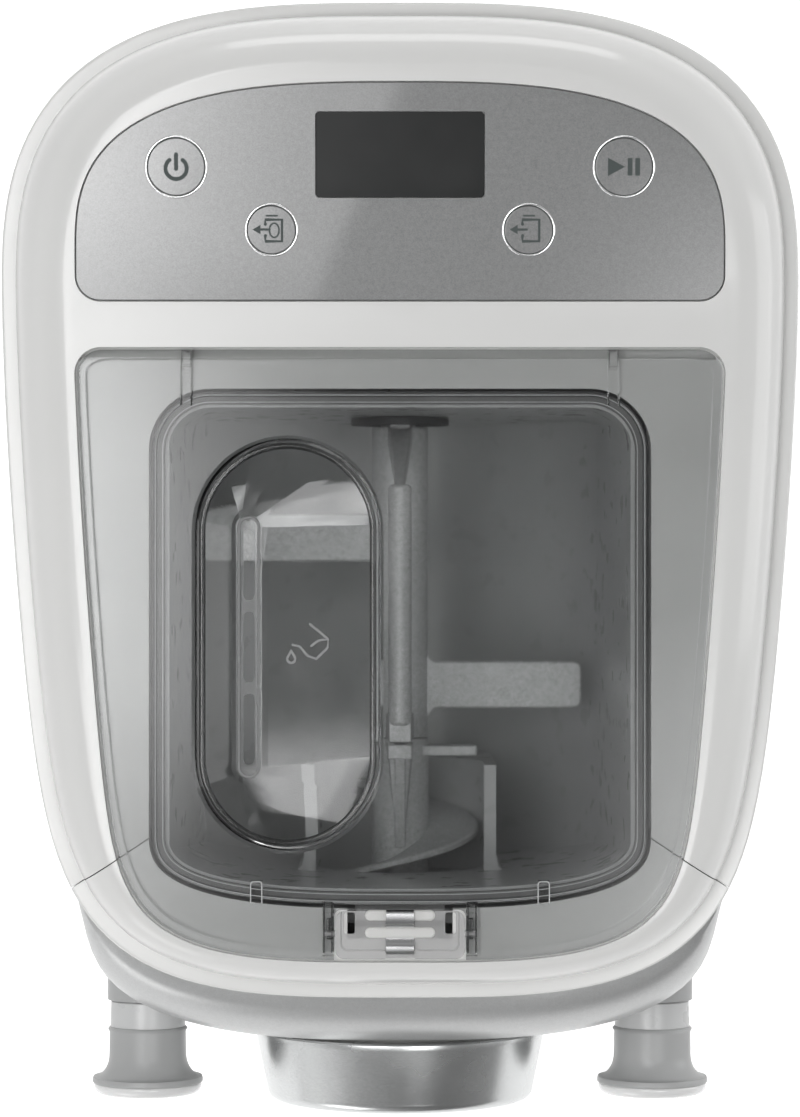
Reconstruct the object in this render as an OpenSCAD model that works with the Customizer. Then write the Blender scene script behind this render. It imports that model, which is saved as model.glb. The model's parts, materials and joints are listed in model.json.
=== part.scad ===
// Electric pasta maker: kneading chamber with a driven stirrer and screw, a removable extruding
// front, a see-through hinged lid, a button console and a drawer for the shaping discs.
// +X is the user's right, -Y is the extruding front, +Z is up. The origin is on the table, below the
// middle of the body's length.

/* [Body] */
// Widest width of the outer shell
body_w = 215; // [209:1:222]
// Length from the back of the shell to the front face of the extruding nut
body_l = 304.5; // [298:0.5:312]
// Height of the lid's top face above the table
deck_z = 300; // [294:1:306]
// How far the widest place lies in front of the back
wide_back = 76; // [70:1:82]
// Wall of the moulded outer shells
wall = 2.5; // [2.2:0.1:2.9]
// Height of the rubber feet
foot_h = 6; // [4:0.5:9]
// Radius of a rubber foot
foot_r = 9; // [7:0.5:11]
// How much narrower the shell is at its foot, on each side
tuck = 11; // [8:0.5:13]

/* [Top] */
// Width of the flat ledge round the top cover
ledge_w = 4; // [3:0.25:5]
// How far the ledge lies below the lid's top face
ledge_drop = 17; // [15:0.5:19]
// Width of the rounded shoulder inside the ledge, at the sides
shoulder_w = 17; // [15:0.5:19]
// Slope of the console, rising to the back, in degrees
console_tilt = 6; // [3:0.5:8]
// Width of the control panel's plate
panel_w = 171.8; // [166:0.2:174]
// Depth of the control panel's plate, front to back
panel_d = 57.6; // [54:0.2:59]
// Thickness of the control panel's plate
panel_t = 1.6; // [1.2:0.1:2]
// Radius of the two large buttons
big_button_r = 7.6; // [6.5:0.1:8.5]
// Radius of the two small buttons
small_button_r = 6.4; // [5.5:0.1:7]
// Width of the bright ring round each button
ring_w = 0.6; // [0.4:0.1:1]
// How far a button travels
button_travel = 0.8; // [0.5:0.1:1]
// Width of the display window
window_w = 44.6; // [40:0.2:48]
// Depth of the display window, front to back
window_d = 22.6; // [19:0.2:24]

/* [Lid] */
// Thickness of the lid's plate
lid_t = 3; // [2.6:0.1:3.4]
// Radius of the lid's hinge pins
hinge_pin_r = 1.6; // [1.3:0.1:1.8]
// Width of the water funnel's mouth
funnel_w = 47; // [42:0.5:49]
// Length of the water funnel's mouth
funnel_l = 107; // [100:0.5:110]
// Depth of the water funnel
funnel_d = 14; // [11:0.5:16]
// Width of a water slot
slot_w = 3; // [2.4:0.1:3.6]
// Length of a water slot
slot_l = 19; // [16:0.5:20.5]
// Width of the lid's latch
latch_w = 37; // [33:0.5:41]

/* [Kneading chamber] */
// Depth of the shaft's axis below the lid's top face
axis_depth = 85; // [82:0.5:88]
// Inner radius of the chamber's round bottom
bowl_r = 57; // [56:0.5:58]
// Wall of the chamber
bowl_wall = 2.5; // [2:0.1:3]
// Half width of the chamber's rim
rim_half = 66.4; // [65.5:0.1:68]
// Radius of the stirring shaft
shaft_r = 8; // [7:0.1:8.6]
// Reach of a paddle from the axis
paddle_reach = 52; // [49:0.5:54.5]
// Width of a paddle along the shaft
paddle_w = 13.5; // [11:0.5:15]
// Outer radius of the extruding screw
screw_r = 22.5; // [21:0.1:23]
// Lead of the extruding screw
screw_lead = 33; // [29:0.5:36]

/* [Extruding front] */
// Distance from the shell's front rim to the front face of the nut
nose_l = 36; // [34:0.5:38]
// Largest half width of the bulged front skin
skin_half = 87; // [85:0.5:88]
// Height of the front skin's lower edge above the table
skin_foot = 118; // [112:1:126]
// Inner radius of the extruding tube
tube_r = 23.3; // [23.1:0.1:24]
// Radius of the extruding nut at its back edge
nut_r = 41; // [39.5:0.1:42]
// Length of the extruding nut
nut_l = 17.5; // [16.5:0.25:18.5]
// Radius of the opening in the nut
nut_mouth_r = 29; // [26:0.25:31]
// Thickness of the shaping disc
disc_t = 6; // [5:0.25:7]
// Radius of a hole in the shaping disc
die_hole_r = 1; // [0.7:0.05:1.2]
// Distance between the two locking knobs
knob_span = 145; // [142:0.5:147]
// Radius of a knob's rim
knob_rim_r = 15.8; // [14.5:0.1:16.5]
// Radius of a knob's grip
knob_grip_r = 12.8; // [11.8:0.1:13.2]
// Radius of a knob's screw
stud_r = 4; // [3.5:0.1:4.5]

/* [Drive] */
// Teeth on the motor pinion
teeth_motor = 12; // [12:1:14]
// Teeth on the first wheel
teeth_first = 60; // [58:1:62]
// Teeth on the first wheel's pinion
teeth_second_pinion = 14; // [13:1:15]
// Teeth on the second wheel
teeth_second = 56; // [54:1:57]
// Teeth on the second wheel's pinion
teeth_third_pinion = 15; // [14:1:16]
// Teeth on the output wheel
teeth_output = 45; // [43:1:46]
// Outer radius of the motor
motor_r = 34; // [32:0.5:36]
// Length of the motor's can
motor_l = 62; // [56:0.5:66]
// Radius of the output shaft
output_r = 6; // [5.5:0.1:6.5]

/* [Drawer] */
// Width of the drawer's front
drawer_w = 124; // [114:1:128]
// Height of the drawer's front
drawer_h = 34; // [30:0.5:36]
// Depth of the drawer's tray, front to back
drawer_d = 72; // [66:0.5:76]

/* [Hidden] */

// Clearances: a turning or sliding fit, a free gap between mouldings, an overrun for cuts
fit = 0.05;
gap = 0.3;
cut = 1;

// Places along the length
back_y = body_l / 2;
nut_front = -body_l / 2;
nut_back = nut_front + nut_l;
rim_front = nut_front + nose_l;
wide_y = back_y - wide_back;
skin_front = nut_back + 3.2;
skin_bend_y = skin_front + 36.5;
seam_y = rim_front + 44.75;
crease_y = back_y - 86;
hinge_y = crease_y - 11;
chamber_back = hinge_y - 8.2;
chamber_front = seam_y - 19;

// Heights
ledge_z = deck_z - ledge_drop;
rim_z = ledge_z - 7;
axis_z = deck_z - axis_depth;
skin_peak = axis_z + 35;
recess_z = deck_z - lid_t - gap;
deck_under = deck_z - 6;
bowl_rim_z = deck_z - 10;
base_top = foot_h + 3;

// Outline of the shell, seen from above
flank_taper = 0.149;
flank_bend = 1.55;
nose_square = 9.4;
nose_round = 3.39;
back_square = 2.615;
back_round = 3.136;
side_steps = 16;
rim_lip = 1.2;

function nose_share(u) =
  (1 - flank_taper * pow(u, flank_bend)) * pow(max(0, 1 - pow(u, nose_square)), 1 / nose_round);
function back_share(v) = pow(max(0, 1 - pow(v, back_square)), 1 / back_round);
function nose_step(i) = sin(90 * (1 - pow(1 - i / side_steps, 1.7)));
function back_step(i) = sin(45 * (1 - cos(180 * i / side_steps)));

// Half width of the bulged front bay at place y, for a half width and a front edge
function bay_half(y, half, front) =
  let (v = max(0, (skin_bend_y - y) / (skin_bend_y - front)))
  v >= 1 ? 0 : half * pow(1 - pow(v, 2.75), 1 / 2.75);

// The wider of the shell and the bay, with a soft change from one to the other
bay_blend = 8;
function wider(a, b) =
  a * b == 0 ? max(a, b) : max(a, b) + pow(max(0, bay_blend - abs(a - b)), 2) / (4 * bay_blend);
// One ring round the body: the egg-shaped shell, widened by the front bay where that reaches further
function body_ring(half, back, front, bay, bay_front, z) =
  let (
    nose = min(front, bay_front),
    right = concat(
      [for (i = [side_steps:-1:0])
        let (
          y = wide_y - nose_step(i) * (wide_y - nose),
          u = min(1, (wide_y - y) / (wide_y - front))
        )
        [wider(half * nose_share(u), bay_half(y, bay, bay_front)), y, z]],
      [for (i = [1:side_steps]) [half * back_share(back_step(i)), wide_y + (back - wide_y) * back_step(i), z]]
    )
  )
  concat(right, [for (i = [len(right) - 2:-1:1]) [-right[i].x, right[i].y, z]]);

// The body's ring at height z, drawn in by d. Above its fullest place the bay closes in to the rim.
function shell_ring(z, d) =
  let (
    drawn = pow((ledge_z - z) / (ledge_z - foot_h), 1.4),
    inset = d + max(0, foot_h + 5 - z) * 0.5,
    half = body_w / 2 - rim_lip - tuck * drawn - inset,
    back = back_y - rim_lip - 5 * drawn - inset,
    front = rim_front + rim_lip + 3 * drawn + inset,
    sag = 5 * pow(max(0, skin_peak - z) / (skin_peak - skin_foot), 1.5),
    rise = min(1, max(0, z + 0.8 * d - skin_peak) / (rim_z - skin_peak)),
    close = 1 - sqrt(1 - rise * rise),
    full = body_ring(half, back, front, skin_half - tuck * drawn - inset, skin_front + sag + inset, z),
    plain = body_ring(half, back, front, 0, front, z)
  )
  close == 0 ? full : [for (i = [0:len(full) - 1]) full[i] + close * (plain[i] - full[i])];

// A solid through rings of equal length, each symmetric about x = 0, closed by strips from side to side
module loft(rings) {
  n = len(rings[0]);
  last = (len(rings) - 1) * n;
  sides = [for (k = [0:len(rings) - 2], i = [0:n - 1])
    let (j = (i + 1) % n, a = k * n, b = a + n)
    each [[a + i, b + i, b + j], [a + i, b + j, a + j]]];
  cap = [for (i = [0:n / 2 - 1])
    let (l = (n - i) % n, m = n - i - 1)
    each i == 0 ? [[0, m, 1]]
      : i == n / 2 - 1 ? [[i, l, i + 1]]
      : [[i, l, m], [i, m, i + 1]]];
  top = [for (f = cap) [for (p = f) p + last]];
  bottom = [for (f = cap) [f[2], f[1], f[0]]];
  polyhedron([for (r = rings) each r], concat(sides, top, bottom));
}

module shell_solid(d, low, high) {
  heights = concat(
    [foot_h + 2.5, foot_h + 5, 60, skin_foot, 165, 210],
    [for (a = [0:22.5:67.5]) skin_peak + (rim_z - skin_peak) * sin(a)]
  );
  levels = [for (z = heights) if (z > low + cut && z < high - cut) z];
  loft([for (z = concat([low], levels, [high])) shell_ring(z, d)]);
}

// The wall of the body between two heights
module shell_wall(low, high) {
  difference() {
    shell_solid(0, low, high);
    shell_solid(wall, low - cut, high + cut);
  }
}

// Everything in front of the seam between the body and its removable front
module before_seam(low, high, shift = 0) {
  reach = 200;
  straight = 66;
  slant = seam_y - (reach - straight) * 0.66;
  translate([0, -shift, low]) linear_extrude(high - low)
    polygon([
      [-reach, -reach * 1.5], [reach, -reach * 1.5], [reach, slant],
      [straight, seam_y], [-straight, seam_y], [-reach, slant]
    ]);
}

// A rod along Y
module rod(r, y0, y1, x = 0, z = 0) {
  translate([x, y1, z]) rotate([90, 0, 0]) cylinder(r = r, h = y1 - y0, $fn = 96);
}

// A flat outline in X and Z, made thick along Y
module slab(y0, y1) {
  translate([0, y1, 0]) rotate([90, 0, 0]) linear_extrude(y1 - y0) children();
}

module block(x0, x1, y0, y1, z0, z1) {
  translate([x0, y0, z0]) cube([x1 - x0, y1 - y0, z1 - z0]);
}

module pair() {
  children();
  mirror([1, 0, 0]) children();
}

// ---- Top cover and the removable front's rim ----

// Outline of the flat top inside the shoulder, and of the lid, drawn in by d
top_half = body_w / 2 - ledge_w - shoulder_w;
lid_front = rim_front + 11.75;
function top_z(y) = deck_z + max(0, y - crease_y) * tan(console_tilt);

function top_share(u) = (1 - 0.148 * pow(u, 1.55)) * pow(max(0, 1 - pow(u, 16)), 1 / 3.4);
function top_ring(d) =
  let (
    front = lid_front + d - gap - 0.1,
    back = back_y - 19.5 - d,
    half = top_half - d + gap + 0.1,
    right = concat(
      [for (i = [side_steps:-1:0])
        [half * top_share(nose_step(i)), wide_y - nose_step(i) * (wide_y - front)]],
      [for (i = [1:side_steps])
        [half * back_share(back_step(i)), wide_y + (back - wide_y) * back_step(i)]]
    )
  )
  concat(right, [for (i = [len(right) - 2:-1:1]) [-right[i].x, right[i].y]]);

function rim_ring(z, d) =
  body_ring(body_w / 2 - d, back_y - d, rim_front + d, 0, rim_front + d, z);

// Rings from the ledge's inner edge over the shoulder to the flat top
function shoulder_rings(ledge, low, top, drop) = [
  for (k = [1:6]) let (a = 15 * k)
  [for (i = [0:len(ledge) - 1])
    let (p = ledge[i], q = top[i], x = p.x + (q.x - p.x) * (1 - cos(a)), y = p.y + (q.y - p.y) * (1 - cos(a)))
    [x, y, low + (top_z(q.y) - drop - low) * sin(a)]]
];

module top_solid() {
  ledge = rim_ring(ledge_z, ledge_w);
  loft(concat(
    [
      rim_ring(rim_z, 1), rim_ring(rim_z + 3, 0), rim_ring(ledge_z - 1, 0),
      rim_ring(ledge_z, 0.8), ledge
    ],
    shoulder_rings(ledge, ledge_z, top_ring(0), 0)
  ));
}

module top_hollow() {
  low = ledge_z - wall;
  ledge = rim_ring(low, ledge_w + wall);
  loft(concat(
    [rim_ring(rim_z - cut, wall + 1), rim_ring(low - cut, wall + 1), ledge],
    shoulder_rings(ledge, low, top_ring(wall), deck_z - deck_under)
  ));
}

// The chamber's rim, seen from above, drawn in by d
module chamber_plan(d) {
  half = rim_half - d;
  corner = 16 - d;
  bend = seam_y + 0.5;
  depth = bend - chamber_front - d;
  polygon([
    for (a = [0:7.5:90]) [half - corner + corner * cos(a), chamber_back - d - corner + corner * sin(a)],
    for (a = [0:7.5:90]) [-half + corner - corner * sin(a), chamber_back - d - corner + corner * cos(a)],
    for (a = [0:7.5:90]) [-half * pow(cos(a), 2 / 2.8), bend - depth * pow(sin(a), 2 / 2.8)],
    for (a = [82.5:-7.5:0]) [half * pow(cos(a), 2 / 2.8), bend - depth * pow(sin(a), 2 / 2.8)]
  ]);
}

// The lid's outline: the flat top's outline, cut straight at the hinge
module lid_plan(d) {
  intersection() {
    polygon(top_ring(d));
    translate([-body_w / 2, lid_front - 5]) square([body_w, hinge_y - lid_front + 5]);
  }
}

// Rounds off the lid's two back corners
lid_corner = 7;
module back_corners() {
  half = top_half - gap;
  back = hinge_y + lid_t;
  polygon([
    [-half, lid_front], [half, lid_front],
    for (a = [0:7.5:90]) [half - lid_corner + lid_corner * cos(a), back - lid_corner + lid_corner * sin(a)],
    for (a = [90:-7.5:0]) [-half + lid_corner - lid_corner * cos(a), back - lid_corner + lid_corner * sin(a)]
  ]);
}

module on_console() {
  translate([0, crease_y, deck_z]) rotate([console_tilt, 0, 0]) children();
}

// The control panel's outline on the console
panel_front = 4.3;
module panel_plan(d) {
  half = panel_w / 2 - d;
  depth = panel_d - 12 - d;
  corner = 6.6 - d;
  low = panel_front + d;
  polygon([
    for (a = [0:6:90]) [half * pow(cos(a), 2 / 2.9), panel_front + 12 + depth * pow(sin(a), 2 / 2.9)],
    for (a = [84:-6:0]) [-half * pow(cos(a), 2 / 2.9), panel_front + 12 + depth * pow(sin(a), 2 / 2.9)],
    for (a = [0:15:90]) [-half + corner - corner * cos(a), low + corner - corner * sin(a)],
    for (a = [0:15:90]) [half - corner + corner * sin(a), low + corner - corner * cos(a)]
  ]);
}

// Buttons: [x, y on the console, radius]
big_button_at = [59.1, 39.6];
small_button_at = [34, 23];
window_y = 42.8;
module at_buttons() {
  for (s = [-1, 1]) {
    translate([s * big_button_at.x, big_button_at.y]) children(0);
    translate([s * small_button_at.x, small_button_at.y]) children(1);
  }
}

latch_back = chamber_front - gap;
arm_half = 12;
arm_d = 5;

module top_shell() {
  groove_half = top_half + 0.2;
  difference() {
    union() {
      difference() {
        top_solid();
        top_hollow();
      }
      // beam under the lid's hinge and tray under the console
      block(-groove_half - 1, groove_half + 1, chamber_back + 1.5, crease_y + panel_front - 1,
        deck_under - 3, recess_z);
    }
    translate([0, 0, recess_z]) linear_extrude(20) lid_plan(0);
    translate([0, 0, rim_z]) linear_extrude(40) chamber_plan(-gap);
    on_console() translate([0, 0, -panel_t]) linear_extrude(20) panel_plan(-0.2);
    // hinge groove, open upwards
    translate([-groove_half, hinge_y, deck_z - lid_t]) rotate([0, 90, 0])
      cylinder(r = lid_t + gap, h = 2 * groove_half, $fn = 48);
    block(-groove_half, groove_half, hinge_y - 1, hinge_y + lid_t + gap, deck_z - lid_t, deck_z + 1);
    on_console() translate([0, 0, -20]) linear_extrude(30) {
      at_buttons() {
        circle(r = big_button_r + ring_w + 0.1, $fn = 64);
        circle(r = small_button_r + ring_w + 0.1, $fn = 64);
      }
      translate([-window_w / 2 + 2, window_y - window_d / 2 + 2]) square([window_w - 4, window_d - 4]);
    }
    // notch for the latch's arm, open towards the chamber
    block(-arm_half - 2, arm_half + 2, latch_back - arm_d - 3, chamber_front + 5, rim_z, deck_z);
  }
}

module top_cover() {
  color("whitesmoke") {
    difference() {
      top_shell();
      before_seam(rim_z - 5, deck_z + 20);
    }
    pair() hinge_ear();
  }
}

// Ears that stand in the hinge groove and carry the lid's pins
ear_x = 57.5;
ear_w = 3.6;
module hinge_ear() {
  difference() {
    union() {
      translate([ear_x - ear_w / 2, hinge_y, deck_z - lid_t]) rotate([0, 90, 0])
        cylinder(r = lid_t - 0.1, h = ear_w, $fn = 48);
      block(ear_x - ear_w / 2, ear_x + ear_w / 2, hinge_y - lid_t + 0.1, hinge_y + lid_t - 0.1,
        deck_under - 3, deck_z - lid_t);
    }
    translate([ear_x - ear_w, hinge_y, deck_z - lid_t]) rotate([0, 90, 0])
      cylinder(r = hinge_pin_r + fit, h = 2 * ear_w, $fn = 32);
  }
}

module front_rim() {
  color("whitesmoke") intersection() {
    top_shell();
    before_seam(rim_z - 5, deck_z + 20, gap);
  }
}

// ---- Body ----

// Places on the lower body
drawer_low = base_top + 3;
drawer_top = drawer_low + drawer_h;
grille_half = 38;
grille_low = 58;
grille_top = 118;
gland_x = 30;
gland_z = 32;
gland_r = 8;
cord_r = 3.6;

module main_housing() {
  color("whitesmoke") {
    difference() {
      shell_wall(foot_h, rim_z);
      before_seam(skin_foot, rim_z + cut);
      block(-drawer_w / 2 - gap, drawer_w / 2 + gap, -body_l, rim_front + 20, drawer_low - gap, drawer_top + gap);
      block(-grille_half - gap, grille_half + gap, wide_y, body_l, grille_low - gap, grille_top + gap);
      rod(gland_r, wide_y, body_l, gland_x, gland_z);
    }
    // shelf that closes the lower body below the removable front
    intersection() {
      shell_solid(wall - 0.1, skin_foot - 3, skin_foot);
      before_seam(skin_foot - 5, skin_foot, seam_y - bulkhead_y);
    }
  }
}

foot_front = [body_w / 2 - tuck - foot_r - 31, rim_front + foot_r + 16];
foot_back = [body_w / 2 - tuck - foot_r - 17, back_y - foot_r - 26];
module at_feet() {
  for (x = [-1, 1], at = [foot_front, foot_back]) translate([x * at.x, at.y, 0]) children();
}

module base_plate() {
  color("gainsboro") difference() {
    union() {
      shell_solid(wall + gap, foot_h, base_top);
      // runners under the drawer's tray
      pair() block(tray_half - 8, tray_half - 4, rim_front + 12, tray_back, base_top, drawer_low - gap);
    }
    at_feet() translate([0, 0, -cut]) cylinder(r = 1.7, h = base_top + 2 * cut, $fn = 32);
  }
}

module rubber_feet() {
  color("dimgray") at_feet() difference() {
    cylinder(r = foot_r, h = foot_h, $fn = 64);
    translate([0, 0, -cut]) cylinder(r = 3.6, h = 3 + cut, $fn = 32);
    cylinder(r = 1.7, h = foot_h + cut, $fn = 32);
  }
}

module base_screws() {
  color("silver") at_feet() {
    translate([0, 0, 0.6]) cylinder(r = 3.2, h = 2.4, $fn = 32);
    translate([0, 0, 3]) cylinder(r = 1.6, h = base_top - 2, $fn = 32);
  }
}

module rear_grille() {
  slots = 11;
  pitch = 6;
  color("whitesmoke") difference() {
    intersection() {
      shell_wall(grille_low - 5, grille_top + 5);
      block(-grille_half, grille_half, wide_y, body_l, grille_low, grille_top);
    }
    for (i = [0:slots - 1])
      translate([(i - (slots - 1) / 2) * pitch, 0, 0])
        block(-1.4, 1.4, wide_y, body_l, grille_low + 6, grille_top - 6);
  }
}

gland_y = back_y - rim_lip - 5;
module cord_gland() {
  color("dimgray") difference() {
    union() {
      rod(gland_r - 0.1, gland_y - 14, gland_y + 3, gland_x, gland_z);
      rod(gland_r + 3, gland_y - 8, gland_y - 4.6, gland_x, gland_z);
    }
    rod(cord_r, gland_y - 20, gland_y + 20, gland_x, gland_z);
  }
}

// ---- Console ----

module control_panel() {
  color("silver") on_console() translate([0, 0, -panel_t]) linear_extrude(panel_t) difference() {
    panel_plan(0);
    at_buttons() {
      circle(r = big_button_r + ring_w + 0.1, $fn = 64);
      circle(r = small_button_r + ring_w + 0.1, $fn = 64);
    }
    translate([-window_w / 2 - 0.1, window_y - window_d / 2 - 0.1]) square([window_w + 0.2, window_d + 0.2]);
  }
}

module display_window() {
  color("#404040") on_console() translate([-window_w / 2, window_y - window_d / 2, -panel_t])
    cube([window_w, window_d, panel_t - 0.4]);
}

// Underside of the console, measured down from its surface
console_under = deck_z - deck_under;
module display_module() {
  color("#202428") on_console() translate([-window_w / 2 + 2.2, window_y - window_d / 2 + 2.2, -console_under - 2])
    cube([window_w - 4.4, window_d - 4.4, console_under + 2 - panel_t - 0.2]);
}

module ring(r, w, h) {
  difference() {
    cylinder(r = r + w, h = h, $fn = 64);
    translate([0, 0, -cut]) cylinder(r = r, h = h + 2 * cut, $fn = 64);
  }
}

module button_rings() {
  color("silver") on_console() translate([0, 0, -panel_t]) at_buttons() {
    ring(big_button_r + 0.1, ring_w, panel_t + 0.2);
    ring(small_button_r + 0.1, ring_w, panel_t + 0.2);
  }
}

// A button: its face, and the stem that reaches down to its switch
board_drop = console_under + 6;
switch_h = 3;
stem_foot = board_drop - switch_h - button_travel - 0.2;
module button(at, r, side) {
  on_console() translate([side * at.x, at.y, 0]) {
    translate([0, 0, -3]) cylinder(r = r, h = 3, $fn = 64);
    translate([0, 0, -stem_foot]) cylinder(r = 2.4, h = stem_foot - 2, $fn = 32);
  }
}
module power_button() { color("silver") button(big_button_at, big_button_r, -1); }
module play_button() { color("silver") button(big_button_at, big_button_r, 1); }
module auto_button() { color("silver") button(small_button_at, small_button_r, -1); }
module extrude_button() { color("silver") button(small_button_at, small_button_r, 1); }

board_t = 1.6;
module control_board() {
  color("darkgreen") {
    on_console() {
      translate([-70, 12, -board_drop - board_t]) cube([140, 40, board_t]);
      translate([0, 0, -board_drop]) at_buttons() {
        translate([-3, -3, 0]) cube([6, 6, switch_h]);
        translate([-3, -3, 0]) cube([6, 6, switch_h]);
      }
      // pillars up to the console's underside, and the display's socket
      for (x = [-66, 66], y = [15, 49])
        translate([x, y, -board_drop]) cylinder(r = 2.5, h = board_drop - console_under - 0.1, $fn = 32);
      translate([-14, window_y - 4, -board_drop]) cube([28, 8, board_drop - console_under - 2]);
    }
  }
}

// ---- Drive ----

// Involute gears: points of one tooth from root to tip, at a pressure angle of 20 degrees
function involute(a) = tan(a) * 180 / PI - a;
function flank(teeth, m, r) =
  let (pitch = teeth * m / 2, base = pitch * cos(20), a = acos(min(1, base / r)))
  90 / teeth - 0.12 / pitch * 180 / PI + involute(20) - involute(a);
module gear(teeth, m, turn) {
  pitch = teeth * m / 2;
  radii = [pitch - 1.25 * m, pitch - 0.35 * m, pitch + 0.35 * m, pitch + 0.95 * m];
  polygon([
    for (t = [0:teeth - 1])
      let (at = t * 360 / teeth + turn)
      each concat(
        [for (r = radii) let (a = at - flank(teeth, m, r)) [r * cos(a), r * sin(a)]],
        [for (k = [3:-1:0]) let (r = radii[k], a = at + flank(teeth, m, r)) [r * cos(a), r * sin(a)]]
      )
  ]);
}

// Modules of the three pairs, their centre distances and the angle of each pair's line
module_a = 1;
module_b = 1.5;
module_c = 2;
reach_a = (teeth_motor + teeth_first) * module_a / 2;
reach_b = (teeth_second_pinion + teeth_second) * module_b / 2;
reach_c = (teeth_third_pinion + teeth_output) * module_c / 2;
line_c = -62;
line_b = -130;
second_at = [reach_c * cos(line_c), axis_z + reach_c * sin(line_c)];
first_at = second_at + reach_b * [cos(line_b), sin(line_b)];
line_a = -acos(-first_at.x / reach_a);
motor_at = [0, first_at.y + reach_a * sin(line_a)];

// Layers along the shafts, behind the chamber
plate_y = hinge_y + 2;
plate_t = 3;
layer_c = plate_y + plate_t + 4;
face_c = 11;
layer_b = layer_c + face_c + 3;
face_b = 8;
layer_a = layer_b + face_b + 3;
face_a = 6;
cover_y = layer_a + face_a + 4;
cover_t = 3;
shaft_thin = 4;
flat = 0.8;

// A shaft's round outline with one flat
module keyed(r) {
  difference() {
    circle(r = r, $fn = 48);
    translate([r - flat, -r]) square([2 * r, 2 * r]);
  }
}

module wheel(at, y, face, teeth, m, turn, bore) {
  translate([at.x, 0, at.y]) slab(y, y + face) difference() {
    gear(teeth, m, turn);
    keyed(bore + 0.02);
  }
}

module output_wheel() {
  color("ivory") wheel([0, axis_z], layer_c, face_c, teeth_output, module_c, line_c, output_r);
}
module second_wheel() {
  color("ivory") {
    wheel(second_at, layer_b, face_b, teeth_second, module_b, line_b, shaft_thin);
    wheel(second_at, layer_c, face_c, teeth_third_pinion, module_c, line_c + 180 + 180 / teeth_third_pinion,
      shaft_thin);
  }
}
module first_wheel() {
  color("ivory") {
    wheel(first_at, layer_a, face_a, teeth_first, module_a, line_a, shaft_thin);
    wheel(first_at, layer_b, face_b, teeth_second_pinion, module_b,
      line_b + 180 + 180 / teeth_second_pinion, shaft_thin);
  }
}

module shaft(at, r, y0, y1, flat0, flat1) {
  translate([at.x, 0, at.y]) {
    rod(r, y0, flat0);
    slab(flat0, flat1) keyed(r);
    rod(r, flat1, y1);
  }
}
drive_tip = chamber_back - 18;
module output_shaft() {
  color("silver") {
    shaft([0, axis_z], output_r, chamber_back - 2, cover_y + cover_t + 2, layer_c - 0.5, cover_y - 3);
    slab(drive_tip, chamber_back - 2) translate([0, axis_z]) circle(r = output_r - 0.4, $fn = 6);
  }
}
module second_shaft() {
  color("silver") shaft(second_at, shaft_thin, plate_y, cover_y + cover_t, layer_c - 0.5, layer_b + face_b + 0.5);
}
module first_shaft() {
  color("silver") shaft(first_at, shaft_thin, plate_y, cover_y + cover_t, layer_b - 0.5, layer_a + face_a + 0.5);
}

bush_wall = 2.5;
bearing_w = 5;
module bush(at, r, y0, y1, w) {
  difference() {
    rod(r + w, y0, y1, at.x, at.y);
    rod(r + fit, y0 - cut, y1 + cut, at.x, at.y);
  }
}
module gear_bushes() {
  color("goldenrod") for (at = [second_at, first_at]) {
    bush(at, shaft_thin, plate_y, layer_c - 1, bush_wall);
    bush(at, shaft_thin, cover_y - 1.5, cover_y + cover_t, bush_wall);
  }
}
module output_bearings() {
  color("lightsteelblue") {
    bush([0, axis_z], output_r, plate_y - 4, plate_y - 4 + bearing_w, 7);
    bush([0, axis_z], output_r, cover_y, cover_y + bearing_w, 7);
  }
}

// Posts that hold the gearbox cover off the chassis plate
post_places = [[66, axis_z + 45], [-60, axis_z + 45], [70, axis_z - 128], [-60, axis_z - 128]];
post_r = 5;
module gearbox_cover() {
  color("silver") difference() {
    union() {
      block(-68, 78, cover_y, cover_y + cover_t, axis_z - 136, axis_z + 53);
      rod(output_r + 10, cover_y, cover_y + bearing_w, 0, axis_z);
    }
    rod(output_r + 7 + 0.02, cover_y - cut, cover_y + 20, 0, axis_z);
    for (at = [second_at, first_at])
      rod(shaft_thin + bush_wall + 0.02, cover_y - cut, cover_y + 20, at.x, at.y);
    for (p = post_places) rod(1.7, cover_y - cut, cover_y + 20, p.x, p.y);
  }
}
module gearbox_screws() {
  color("silver") for (p = post_places) {
    rod(1.6, cover_y - 7, cover_y + cover_t, p.x, p.y);
    rod(3, cover_y + cover_t, cover_y + cover_t + 2.4, p.x, p.y);
  }
}

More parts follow.
